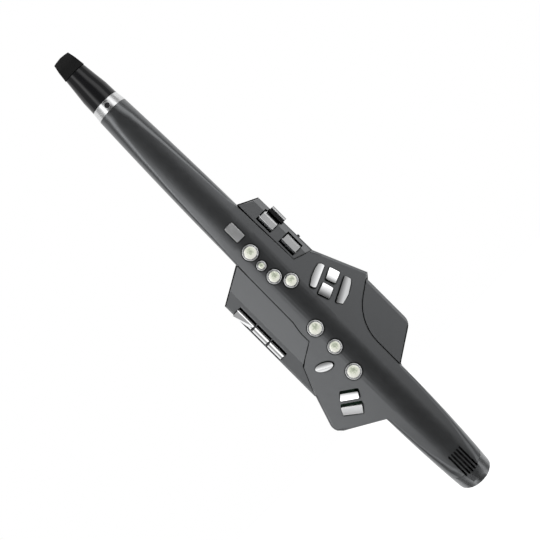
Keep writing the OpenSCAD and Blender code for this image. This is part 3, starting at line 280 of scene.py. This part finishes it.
def new_material(name, color, metallic, roughness, **sockets):
    """A Principled material whose plain values sit on the shader's own sockets."""
    material = bpy.data.materials.new("wc_" + name)
    material.use_nodes = True
    shader = material.node_tree.nodes["Principled BSDF"]
    shader.inputs["Base Color"].default_value = (*color, 1)
    shader.inputs["Metallic"].default_value = metallic
    shader.inputs["Roughness"].default_value = roughness
    for socket, value in sockets.items():
        shader.inputs[socket.replace("_", " ").title()].default_value = value
    material.diffuse_color = (*color, 1)
    return material


def add_node(material, kind, **values):
    """Adds a shader node, and sets its own properties and its plain inputs by name."""
    node = material.node_tree.nodes.new(kind)
    for name, value in values.items():
        if hasattr(node, name):
            setattr(node, name, value)
        else:
            node.inputs[name.replace("_", " ").title()].default_value = value
    return node


def noise_of(material, scale, detail=3, roughness=0.5, stretch=None):
    """Noise on the object's own coordinates."""
    links = material.node_tree.links
    place = add_node(material, "ShaderNodeTexCoord")
    noise = add_node(material, "ShaderNodeTexNoise", scale=scale, detail=detail,
                     roughness=roughness)
    if stretch:
        mapping = add_node(material, "ShaderNodeMapping")
        mapping.inputs["Scale"].default_value = stretch
        links.new(place.outputs["Object"], mapping.inputs["Vector"])
        links.new(mapping.outputs["Vector"], noise.inputs["Vector"])
    else:
        links.new(place.outputs["Object"], noise.inputs["Vector"])
    return noise


def add_bump(material, height, strength, distance):
    """Bumps the shader by a height."""
    bump = add_node(material, "ShaderNodeBump", strength=strength, distance=distance)
    material.node_tree.links.new(height, bump.inputs["Height"])
    material.node_tree.links.new(bump.outputs["Normal"],
                                 material.node_tree.nodes["Principled BSDF"].inputs["Normal"])


def vary(material, socket, factor, low, high):
    """Drives a socket of the shader between two values by a factor."""
    span = add_node(material, "ShaderNodeMapRange")
    span.inputs["From Min"].default_value = NOISE_SPAN[0]
    span.inputs["From Max"].default_value = NOISE_SPAN[1]
    span.inputs["To Min"].default_value = low
    span.inputs["To Max"].default_value = high
    links = material.node_tree.links
    links.new(factor, span.inputs["Value"])
    links.new(span.outputs["Result"],
              material.node_tree.nodes["Principled BSDF"].inputs[socket])


def color_ramp(material, stops):
    """A ramp of (position, colour) stops."""
    ramp = add_node(material, "ShaderNodeValToRGB")
    elements = ramp.color_ramp.elements
    while len(elements) < len(stops):
        elements.new(0.5)
    for element, (position, color) in zip(elements, stops):
        element.position = position
        element.color = (*color, 1)
    return ramp


def tint(material, factor, stops):
    """Colours the base from a ramp of (position, colour) stops."""
    ramp = color_ramp(material, stops)
    links = material.node_tree.links
    links.new(factor, ramp.inputs["Fac"])
    links.new(ramp.outputs["Color"],
              material.node_tree.nodes["Principled BSDF"].inputs["Base Color"])


def paint_gap_shade(material, reach=0.002):
    """Paints shade into the base colour: dims it where another face stands close by, as in a seam
    or round a key.
    """
    links = material.node_tree.links
    base = material.node_tree.nodes["Principled BSDF"].inputs["Base Color"]
    near = add_node(material, "ShaderNodeAmbientOcclusion", samples=8, distance=reach)
    links.new(base.links[0].from_socket, near.inputs["Color"])
    painted_shade = add_node(material, "ShaderNodeMix", data_type="RGBA", blend_type="MULTIPLY")
    painted_shade.inputs["Factor"].default_value = 1.0
    links.new(near.outputs["Color"], painted_shade.inputs["A"])
    links.new(near.outputs["AO"], painted_shade.inputs["B"])
    links.new(painted_shade.outputs["Result"], base)


def shade(color, factor):
    """A colour made darker or brighter, up to white."""
    return tuple(min(1, c * factor) for c in color)


def satin_paint(name, color, roughness, metallic=0.95):
    """Metallic satin paint: fine flakes, a faint mottle, a soft orange peel, and painted shade in
    the seams and round the keys.
    """
    material = new_material(name, color, metallic, roughness)
    flake = noise_of(material, scale=5200, detail=1)
    tint(material, flake.outputs["Fac"],
         [(NOISE_SPAN[0], shade(color, 0.9)), (NOISE_SPAN[1], shade(color, 1.1))])
    # Painted shade: the base colour dims in the seams and round the keys
    paint_gap_shade(material)
    mottle = noise_of(material, scale=160, detail=4)
    vary(material, "Roughness", mottle.outputs["Fac"], roughness - 0.025, roughness + 0.025)
    peel = noise_of(material, scale=1400, detail=2)
    add_bump(material, peel.outputs["Fac"], strength=0.06, distance=0.1 * MM)
    return material


def grained_plastic(name, color, roughness, depth=0.35):
    """Moulded plastic with a fine spark-eroded grain."""
    material = new_material(name, color, 0.0, roughness)
    grain = noise_of(material, scale=1500, detail=3, roughness=0.6)
    add_bump(material, grain.outputs["Fac"], strength=depth, distance=0.12 * MM)
    mottle = noise_of(material, scale=90, detail=3)
    vary(material, "Roughness", mottle.outputs["Fac"], roughness - 0.05, roughness + 0.05)
    tint(material, grain.outputs["Fac"],
         [(NOISE_SPAN[0], shade(color, 0.85)), (NOISE_SPAN[1], shade(color, 1.12))])
    return material


def bright_plating(name, color, roughness, stretch=(900, 900, 60), smear_span=0.3):
    """Plated metal with hairline polishing marks and faint handling smears."""
    material = new_material(name, color, 1.0, roughness)
    smear = noise_of(material, scale=130, detail=4)
    vary(material, "Roughness", smear.outputs["Fac"], roughness * (1 - smear_span),
         roughness * (1 + smear_span))
    hair = noise_of(material, scale=1, detail=2, stretch=stretch)
    add_bump(material, hair.outputs["Fac"], strength=0.02, distance=0.05 * MM)
    return material


def nacre(name, color):
    """Mother of pearl: green and cream noise clouds under clear gloss, with painted light: a darker
    green cloud off the middle as a painted reflection of the dark surround, and cream towards the
    edge as a painted highlight.
    """
    material = new_material(name, color, 0.15, 0.2, coat_weight=1.0, coat_roughness=0.05)
    links = material.node_tree.links
    place = add_node(material, "ShaderNodeTexCoord")
    own = add_node(material, "ShaderNodeObjectInfo")
    moved = add_node(material, "ShaderNodeVectorMath", operation="ADD")
    links.new(place.outputs["Object"], moved.inputs[0])
    links.new(own.outputs["Location"], moved.inputs[1])
    clouds = add_node(material, "ShaderNodeTexNoise", scale=330, detail=4, roughness=0.6,
                      distortion=1.4)
    links.new(moved.outputs["Vector"], clouds.inputs["Vector"])
    # Painted light by distance from a point off the middle: darker there as a painted reflection,
    # whiter towards the edge as a painted highlight
    reach = add_node(material, "ShaderNodeVectorMath", operation="DISTANCE")
    reach.inputs[1].default_value = (0.9 * MM, 0, 1.2 * MM)
    links.new(place.outputs["Object"], reach.inputs[0])
    rim = add_node(material, "ShaderNodeMapRange")
    rim.inputs["From Min"].default_value = 1.0 * MM
    rim.inputs["From Max"].default_value = 7.5 * MM
    rim.inputs["To Min"].default_value = -0.13
    rim.inputs["To Max"].default_value = 0.4
    links.new(reach.outputs["Value"], rim.inputs["Value"])
    both = add_node(material, "ShaderNodeMath", operation="ADD")
    links.new(clouds.outputs["Fac"], both.inputs[0])
    links.new(rim.outputs["Result"], both.inputs[1])
    tint(material, both.outputs[0],
         [(0.3, shade(color, 0.62)), (0.45, shade(color, 0.88)), (0.58, (0.97, 0.99, 0.85)),
          (0.8, (1.0, 1.0, 0.91))])
    return material


def gloss_black(name, color):
    """Polished black resin with faint finger marks."""
    material = new_material(name, color, 0.0, 0.1)
    material.node_tree.nodes["Principled BSDF"].inputs["Specular IOR Level"].default_value = 0.32
    marks = noise_of(material, scale=110, detail=5, roughness=0.6)
    vary(material, "Roughness", marks.outputs["Fac"], 0.07, 0.18)
    return material


def soft_rubber(name, color):
    """Matte rubber with a fine powdery grain."""
    material = new_material(name, color, 0.0, 0.62)
    material.node_tree.nodes["Principled BSDF"].inputs["Specular IOR Level"].default_value = 0.1
    grain = noise_of(material, scale=2600, detail=3, roughness=0.65)
    add_bump(material, grain.outputs["Fac"], strength=0.3, distance=0.1 * MM)
    tint(material, grain.outputs["Fac"],
         [(NOISE_SPAN[0], shade(color, 0.8)), (NOISE_SPAN[1], shade(color, 1.3))])
    return material


def circuit_board(name, color):
    """Green lacquer over faint copper tracks."""
    material = new_material(name, color, 0.0, 0.35, coat_weight=0.4)
    tracks = noise_of(material, scale=420, detail=1, stretch=(1, 1, 0.12))
    tint(material, tracks.outputs["Fac"],
         [(0.47, color), (0.5, shade(color, 1.9)), (0.53, color)])
    return material


def printed_sleeve(name, color):
    """Lacquered sleeve of a cell, clouded from dark to light."""
    material = new_material(name, color, 0.3, 0.3)
    clouds = noise_of(material, scale=40, detail=2)
    tint(material, clouds.outputs["Fac"], [(0.4, shade(color, 0.6)), (0.6, color)])
    return material


def satin_steel(name):
    """Brushed steel with fine lines across."""
    color = (0.55, 0.555, 0.565)
    material = new_material(name, color, 1.0, 0.28)
    lines = noise_of(material, scale=1, detail=3, stretch=(150, 150, 4200))
    add_bump(material, lines.outputs["Fac"], strength=0.08, distance=0.05 * MM)
    vary(material, "Roughness", lines.outputs["Fac"], 0.22, 0.36)
    return material


def material_set(context):
    """All finishes, made once and found again by name."""
    if bpy.data.materials.get("wc_front_paint"):
        return
    covers, keys, neck = (settings(context, g) for g in ("wc_covers", "wc_keys", "wc_neck"))
    rough = covers.paint_roughness
    satin_paint("front_paint", covers.front_color, rough)
    # Painted light: the side key panel's paint is a lighter copy
    satin_paint("left_lit_paint", covers.left_lit_color, rough)
    satin_paint("right_paint", covers.right_color, rough)
    satin_paint("palm_paint", covers.palm_color, rough)
    satin_paint("cap_paint", covers.cap_color, roughness=0.27)
    grained_plastic("rear_plastic", shade(covers.rear_color, 0.6), roughness=0.45)
    bright_plating("plating", keys.plating_color, keys.plating_roughness)
    bright_plating("brushed_plating", keys.plating_color, roughness=0.42, smear_span=0.05)
    # A darker copy of the plating, with the same roughness: painted shade for the keys that look
    # greyer
    bright_plating("shaded_plating", shade(keys.plating_color, 0.82), keys.plating_roughness)
    bright_plating("ring_plating", shade(keys.plating_color, 0.8), roughness=0.3,
                   stretch=(2600, 2600, 60))
    nacre("nacre", keys.nacre_color)
    gloss_black("mouthpiece_gloss", neck.black_color)
    soft_rubber("pad_rubber", neck.pad_color)
    grained_plastic("black_plastic", (0.012, 0.012, 0.013), roughness=0.4, depth=0.2)
    grained_plastic("silicone", (0.55, 0.57, 0.6), roughness=0.5, depth=0.1)
    circuit_board("board_lacquer", (0.01, 0.07, 0.03))
    printed_sleeve("cell_sleeve", (0.22, 0.27, 0.05))
    satin_steel("satin_steel")
    new_material("window_tint", (0.006, 0.007, 0.009), metallic=0.0, roughness=0.04,
                 coat_weight=1.0)


def finish_of(name):
    """The finish of a name."""
    return bpy.data.materials["wc_" + name]


# Pieces


class WC_OT_covers(Operator):
    """Dresses the front cover, rear cover, end cap and battery cover"""

    bl_idname = "wind_controller.covers"
    bl_label = "Covers"

    def execute(self, context):
        material_set(context)
        radius = settings(context, "wc_covers").edge_radius
        refined("front_cover", finish_of("front_paint"), radius)
        refined("rear_cover", finish_of("rear_plastic"), radius)
        refined("end_cap", finish_of("cap_paint"), radius)
        refined("battery_cover", finish_of("rear_plastic"), radius)
        return {"FINISHED"}


class WC_OT_panels(Operator):
    """Dresses the side panels and the palm key panel"""

    bl_idname = "wind_controller.panels"
    bl_label = "Panels"

    def execute(self, context):
        material_set(context)
        radius = settings(context, "wc_covers").edge_radius
        for node, finish in (("left_side_panel", "left_lit_paint"),
                             ("right_side_panel", "right_paint"),
                             ("palm_key_panel", "palm_paint")):
            refined(node, finish_of(finish), radius, angle=18, smooth_angle=12)
        return {"FINISHED"}


class WC_OT_pearl_keys(Operator):
    """Turns each pearl key's cup and its domed pearl"""

    bl_idname = "wind_controller.pearl_keys"
    bl_label = "Pearl Keys"

    def execute(self, context):
        material_set(context)
        keys = settings(context, "wc_keys")
        for name in PEARL_KEYS:
            self.cup(name, keys)
            self.pearl(name, keys)
        return {"FINISHED"}

    def cup(self, name, keys):
        """A cup with a round rim, a thin dark groove and a bezel round the pearl."""
        node = name + "_key"
        low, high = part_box(node)
        radius = (high.x - low.x) / 2
        foot, underside, groove, seat = low.y - high.y, -5.4 * MM, -1.3 * MM, -1.5 * MM
        chamfer, rim, bezel = 0.3 * MM, 0.5 * MM, 0.27 * MM
        inner = radius - 1.4 * MM
        profile = [(0, foot), (STEM_RADIUS, foot), (STEM_RADIUS, underside),
                   (radius - chamfer, underside), (radius, underside + chamfer)]
        profile += arc((radius - rim, -rim), rim, 0, 180, 8)
        profile += [(radius - 2 * rim, groove), (inner, groove)]
        profile += arc((inner - bezel, -0.45 * MM), bezel, 0, 180, 6)
        profile += [(inner - 2 * bezel, seat), (0, seat)]
        front = Vector(((low.x + high.x) / 2, low.y, (low.z + high.z) / 2))
        upright = Matrix.Translation(front) @ Matrix.Rotation(pi / 2, 4, "X")
        bm = turned(profile, keys.spin_steps, upright)
        carry(new_object(node + "_cup", bm, 50), node, finish_of("plating"))

    def pearl(self, name, keys):
        """A disc with a low dome and a fine edge, turned about its own middle."""
        node = name + "_pearl"
        low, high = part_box(node)
        radius = (high.x - low.x) / 2
        centre = Vector(((low.x + high.x) / 2, low.y, (low.z + high.z) / 2))
        thick = high.y - low.y
        crown = keys.pearl_crown
        ball = (radius ** 2 + crown ** 2) / (2 * crown)
        rings, edge, chamfer = 12, 0.12 * MM, 0.1 * MM
        reaches = [0.985 * radius * k / rings for k in range(rings + 1)]
        dome = [(reach, thick - ball + sqrt(ball ** 2 - reach ** 2)) for reach in reaches]
        profile = dome + [(radius, dome[-1][1] - edge), (radius, chamfer),
                          (radius - chamfer, 0), (0, 0)]
        upright = Matrix.Translation(Vector((0, thick, 0))) @ Matrix.Rotation(pi / 2, 4, "X")
        obj = new_object(node + "_disc", turned(profile, keys.spin_steps, upright), 50)
        obj.location = centre
        context_update()
        carry(obj, node, finish_of("nacre"))


class WC_OT_plate_keys(Operator):
    """Dresses the plate keys of both hands"""

    bl_idname = "wind_controller.plate_keys"
    bl_label = "Plate Keys"

    def execute(self, context):
        material_set(context)
        for node, (turn, nod, radius, finish) in PLATE_KEYS.items():
            obj = refined(node, finish_of(finish), radius * MM, segments=3, angle=40)
            lean = Matrix.Rotation(radians(turn), 4, "Z") @ Matrix.Rotation(radians(nod), 4, "X")
            self.lean_crown(obj.data, lean)
        return {"FINISHED"}

    def lean_crown(self, mesh, lean):
        """Turns the front faces about their middle, and leaves the foot in its well."""
        facing = 0.6
        bm = bmesh.new()
        bm.from_mesh(mesh)
        crown = list({v: None for f in bm.faces if f.normal.y < -facing for v in f.verts})
        middle = Matrix.Translation(sum((v.co for v in crown), Vector()) / len(crown))
        bmesh.ops.transform(bm, matrix=middle @ lean @ middle.inverted(), verts=crown)
        bm.to_mesh(mesh)
        bm.free()


class WC_OT_lever_keys(Operator):
    """Dresses the side keys, the palm keys and their rods"""

    bl_idname = "wind_controller.lever_keys"
    bl_label = "Side and Palm Keys"

    def execute(self, context):
        material_set(context)
        for node in LEVER_KEYS:
            refined(node, finish_of("plating"), 0.3 * MM, angle=25, smooth_angle=20)
        self.palm_f()
        refined("pivot_rods", finish_of("satin_steel"), 0.15 * MM)
        return {"FINISHED"}

    def palm_f(self):
        """The palm key in two by where its faces lie: the outer touch plate plated, the faces
        inward of it black.
        """
        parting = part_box("palm_f_key")[1].x - 2.7 * MM
        for name, material, inner in (("arm", "black_plastic", True),
                                      ("plate", "plating", False)):
            bm = merged_copy("palm_f_key")
            other = [f for f in bm.faces
                     if (f.calc_center_median().x < parting) != inner]
            bmesh.ops.delete(bm, geom=other, context="FACES")
            obj = new_object("palm_f_" + name, bm)
            round_edges(obj, 0.3 * MM)
            carry(obj, "palm_f_key", finish_of(material))


class WC_OT_neck(Operator):
    """Dresses the neck ring, the mouthpiece, its pad and its reed"""

    bl_idname = "wind_controller.neck"
    bl_label = "Neck"

    def execute(self, context):
        material_set(context)
        refined("neck_ring", finish_of("ring_plating"), 0.25 * MM)
        self.vent_shade()
        refined("tenon_seal", finish_of("pad_rubber"))
        refined("breath_tube", finish_of("silicone"))
        refined("mouthpiece", finish_of("mouthpiece_gloss"), 0.3 * MM, smooth_angle=40)
        refined("bite_pad", finish_of("pad_rubber"), smooth_angle=50)
        refined("reed", finish_of("mouthpiece_gloss"), 0.2 * MM)
        return {"FINISHED"}

    def vent_shade(self):
        """A black plug in the ring's vent hole, dished in the middle, as painted shade for the dark
        of the open vent, and a bright lip round it.
        """
        out = Vector((0, -cos(NECK_TILT), sin(NECK_TILT)))
        place = Vector((0, -27.55, 247.44)) * MM
        radius, back, front, dish = 2.78 * MM, -1.9 * MM, -0.5 * MM, -0.75 * MM
        profile = [(0, back), (radius, back), (radius, -0.7 * MM), (2.5 * MM, front),
                   (1.2 * MM, dish), (0, dish)]
        matrix = Matrix.Translation(place) @ out.to_track_quat("Z", "Y").to_matrix().to_4x4()
        lip = arc((3.1 * MM, -0.25 * MM), 0.32 * MM, 0, 360, 12)
        for name, outline, finish in (("vent_plug", profile, "black_plastic"),
                                      ("vent_lip", lip, "plating")):
            bm = turned(outline, 48, matrix)
            carry(new_object(name, bm), "neck_ring", finish_of(finish))


class WC_OT_back(Operator):
    """Dresses what the thumbs hold and turn, and the strap eye"""

    bl_idname = "wind_controller.back"
    bl_label = "Back"

    def execute(self, context):
        material_set(context)
        refined("strap_eye", finish_of("satin_steel"), 0.4 * MM)
        refined("thumb_rest", finish_of("pad_rubber"), 0.3 * MM)
        refined("thumb_hook", finish_of("black_plastic"), 0.8 * MM, segments=3)
        refined("thumb_lever", finish_of("black_plastic"), 0.3 * MM)
        for node in ("octave_up_key", "octave_down_key"):
            refined(node, finish_of("plating"), 0.4 * MM, segments=3)
        refined("volume_knob", finish_of("black_plastic"), 0.2 * MM)
        refined("display_window", finish_of("window_tint"), 0.15 * MM)
        refined("value_rocker", finish_of("black_plastic"), 0.3 * MM)
        refined("power_switch", finish_of("black_plastic"), 0.2 * MM)
        refined("case_screws", finish_of("satin_steel"), 0.12 * MM)
        return {"FINISHED"}


class WC_OT_inside(Operator):
    """Dresses the sockets, the speaker, the boards and the cells"""

    bl_idname = "wind_controller.inside"
    bl_label = "Inside"

    def execute(self, context):
        material_set(context)
        refined("phones_jack", finish_of("black_plastic"), 0.2 * MM)
        refined("usb_port", finish_of("satin_steel"), 0.12 * MM)
        refined("speaker", finish_of("black_plastic"), 0.2 * MM)
        refined("main_board", finish_of("board_lacquer"))
        refined("key_board", finish_of("board_lacquer"))
        refined("battery_holder", finish_of("black_plastic"), 0.2 * MM)
        refined("batteries", finish_of("cell_sleeve"), 0.3 * MM)
        return {"FINISHED"}


# Stage


def look_along(obj, place, direction, up):
    """Places an object so that its -Z looks along a direction with its +Y near up."""
    forward = direction.normalized()
    right = forward.cross(up).normalized()
    true_up = right.cross(forward)
    turn = Matrix((right, true_up, -forward)).transposed().to_4x4()
    obj.matrix_world = Matrix.Translation(place) @ turn


def soft_light(name, place, target, width, height, power):
    """An area light that no mirror ray sees."""
    light = bpy.data.lights.new(name, "AREA")
    light.shape = "RECTANGLE"
    light.size, light.size_y = width, height
    light.energy = power
    obj = bpy.data.objects.new(name, light)
    bpy.context.scene.collection.objects.link(obj)
    obj.visible_glossy = False
    look_along(obj, place, target - place, Vector((0, 0, 1)))


def seen_directly(tree):
    """One for camera, mirror and glass rays, and zero for the light that falls on things."""
    path = tree.nodes.new("ShaderNodeLightPath")
    found = path.outputs["Is Camera Ray"]
    for name in ("Is Glossy Ray", "Is Transmission Ray"):
        either = tree.nodes.new("ShaderNodeMath")
        either.operation = "MAXIMUM"
        tree.links.new(found, either.inputs[0])
        tree.links.new(path.outputs[name], either.inputs[1])
        found = either.outputs[0]
    return found


class WC_OT_stage(Operator):
    """Makes the camera, the soft lights, the graded sweep, the floor and the white surround"""

    bl_idname = "wind_controller.stage"
    bl_label = "Stage"

    def execute(self, context):
        studio = settings(context, "wc_studio")
        self.camera(context, studio)
        self.world(context, studio.surround)
        self.floor(studio)
        self.sweep(studio)
        target = Vector((0, -0.02, 0.3))
        for name, side, power in (("left_softbox", -1, studio.left_power),
                                  ("right_softbox", 1, studio.right_power)):
            place = Vector((side * 1.9, -2.1, 0.5))
            soft_light(name, place, target, width=2.3, height=3.6, power=power)
        context.scene.view_settings.view_transform = "Standard"
        return {"FINISHED"}

    def camera(self, context, studio):
        """The camera, square to the front and turned so that the instrument lies aslant."""
        data = bpy.data.cameras.new("camera")
        data.lens = studio.lens
        data.sensor_width = 36
        data.clip_start, data.clip_end = 0.05, 50
        obj = bpy.data.objects.new("camera", data)
        context.scene.collection.objects.link(obj)
        distance = studio.view_width * data.lens / data.sensor_width
        centre = Vector((-0.0013, -0.038, 0.0251))
        up = Vector((1, 0, 1)).normalized()
        look_along(obj, centre - Vector((0, distance, 0)), Vector((0, 1, 0)), up)
        context.scene.camera = obj

    def world(self, context, surround):
        """A soft surround on the object, seen as plain white."""
        world = bpy.data.worlds.new("surround")
        world.use_nodes = True
        tree = world.node_tree
        soft = tree.nodes["Background"]
        soft.inputs["Color"].default_value = (1, 1, 1, 1)
        soft.inputs["Strength"].default_value = surround
        white = tree.nodes.new("ShaderNodeBackground")
        white.inputs["Color"].default_value = (1, 1, 1, 1)
        mix = tree.nodes.new("ShaderNodeMixShader")
        tree.links.new(seen_directly(tree), mix.inputs["Fac"])
        tree.links.new(soft.outputs[0], mix.inputs[1])
        tree.links.new(white.outputs[0], mix.inputs[2])
        tree.links.new(mix.outputs[0], tree.nodes["World Output"].inputs["Surface"])
        context.scene.world = world

    def floor(self, studio):
        """A pale floor below the object, with the object's shadow."""
        bm = bmesh.new()
        bmesh.ops.create_grid(bm, x_segments=2, y_segments=2, size=FLOOR_SIZE)
        bmesh.ops.translate(bm, verts=bm.verts,
                            vec=(0, 0, CAD_BOX[0].z - studio.floor_drop))
        material = new_material("pale_floor", (0.9, 0.9, 0.9), 0.0, 0.7)
        self.lift(material)
        obj = new_object("floor", bm)
        obj.data.materials.append(material)

    def lift(self, material):
        """Raises the lit floor to white for camera, mirror and glass rays, under its shadows."""
        tree = material.node_tree
        seen = seen_directly(tree)
        glow = tree.nodes.new("ShaderNodeEmission")
        both = tree.nodes.new("ShaderNodeAddShader")
        gain = tree.nodes.new("ShaderNodeMath")
        gain.operation = "MULTIPLY"
        gain.inputs[1].default_value = FLOOR_LIFT
        tree.links.new(seen, gain.inputs[0])
        tree.links.new(gain.outputs[0], glow.inputs["Strength"])
        tree.links.new(tree.nodes["Principled BSDF"].outputs[0], both.inputs[0])
        tree.links.new(glow.outputs[0], both.inputs[1])
        tree.links.new(both.outputs[0], tree.nodes["Material Output"].inputs["Surface"])

    def sweep(self, studio):
        """A curved card round the front, graded from dark ahead to bright at its wings.

        It gives the paint and the plating what a graded studio sweep gives them. Its foot, just
        over the floor, is half as bright, and only their mirror rays see it.
        """
        foot = CAD_BOX[0].z - studio.floor_drop + 0.02
        outline = [(SWEEP_HOLE, foot), (SWEEP_RADIUS, foot), (SWEEP_RADIUS, foot + SWEEP_HEIGHT)]
        bm = turned(outline, 72, Matrix())
        end = radians(SWEEP[-1][0] + 2)
        out = [f for f in bm.faces
               if abs(atan2(f.calc_center_median().x, -f.calc_center_median().y)) > end]
        bmesh.ops.delete(bm, geom=out, context="FACES")
        obj = new_object("sweep", bm)
        card = new_material("sweep_card", (0, 0, 0), 0.0, 1.0)
        links = card.node_tree.links
        shader = card.node_tree.nodes["Principled BSDF"]
        place = add_node(card, "ShaderNodeTexCoord")
        parts = add_node(card, "ShaderNodeSeparateXYZ")
        links.new(place.outputs["Object"], parts.inputs[0])
        ahead = add_node(card, "ShaderNodeMath", operation="MULTIPLY")
        ahead.inputs[1].default_value = -1
        links.new(parts.outputs["Y"], ahead.inputs[0])
        turn = add_node(card, "ShaderNodeMath", operation="ARCTAN2")
        links.new(parts.outputs["X"], turn.inputs[0])
        links.new(ahead.outputs[0], turn.inputs[1])
        span = add_node(card, "ShaderNodeMapRange")
        span.inputs["From Min"].default_value = -pi
        span.inputs["From Max"].default_value = pi
        links.new(turn.outputs[0], span.inputs["Value"])
        ramp = color_ramp(card, [(0.5 + angle / 360, (level,) * 3) for angle, level in SWEEP])
        links.new(span.outputs["Result"], ramp.inputs["Fac"])
        links.new(ramp.outputs["Color"], shader.inputs["Emission Color"])
        upright = add_node(card, "ShaderNodeMath", operation="GREATER_THAN")
        upright.inputs[1].default_value = foot + MM
        links.new(parts.outputs["Z"], upright.inputs[0])
        light = add_node(card, "ShaderNodeMapRange")
        light.inputs["To Min"].default_value = studio.sweep_light * 0.5
        light.inputs["To Max"].default_value = studio.sweep_light
        links.new(upright.outputs[0], light.inputs["Value"])
        links.new(light.outputs["Result"], shader.inputs["Emission Strength"])
        obj.data.materials.append(card)
        obj.visible_camera = False
        obj.visible_diffuse = False
        obj.visible_shadow = False
        obj.visible_transmission = False


OPERATORS = (WC_OT_covers, WC_OT_panels, WC_OT_pearl_keys, WC_OT_plate_keys, WC_OT_lever_keys,
             WC_OT_neck, WC_OT_back, WC_OT_inside, WC_OT_stage)
GROUPS = {"wc_covers": CoverSettings, "wc_keys": KeySettings, "wc_neck": NeckSettings,
          "wc_studio": StudioSettings}


class WC_PT_panel(Panel):
    """Lists the settings and the steps"""

    bl_idname = "WC_PT_panel"
    bl_label = "Wind Controller"
    bl_space_type = "VIEW_3D"
    bl_region_type = "UI"
    bl_category = "Wind Controller"

    def draw(self, context):
        for group, kind in GROUPS.items():
            box = self.layout.box()
            for name in kind.__annotations__:
                box.prop(settings(context, group), name)
        for operator in OPERATORS:
            self.layout.operator(operator.bl_idname)


CLASSES = (*GROUPS.values(), *OPERATORS, WC_PT_panel)


def register():
    """Registers the settings, the steps and the panel."""
    for cls in CLASSES:
        bpy.utils.register_class(cls)
    for group, kind in GROUPS.items():
        setattr(bpy.types.Scene, group, PointerProperty(type=kind))


def unregister():
    """Takes away what register added."""
    for group in GROUPS:
        delattr(bpy.types.Scene, group)
    for cls in reversed(CLASSES):
        bpy.utils.unregister_class(cls)


def main():
    """Runs the steps in order."""
    register()
    steps = bpy.ops.wind_controller
    steps.stage()
    steps.covers()
    steps.panels()
    steps.pearl_keys()
    steps.plate_keys()
    steps.lever_keys()
    steps.neck()
    steps.back()
    steps.inside()


if __name__ == "__main__":
    main()
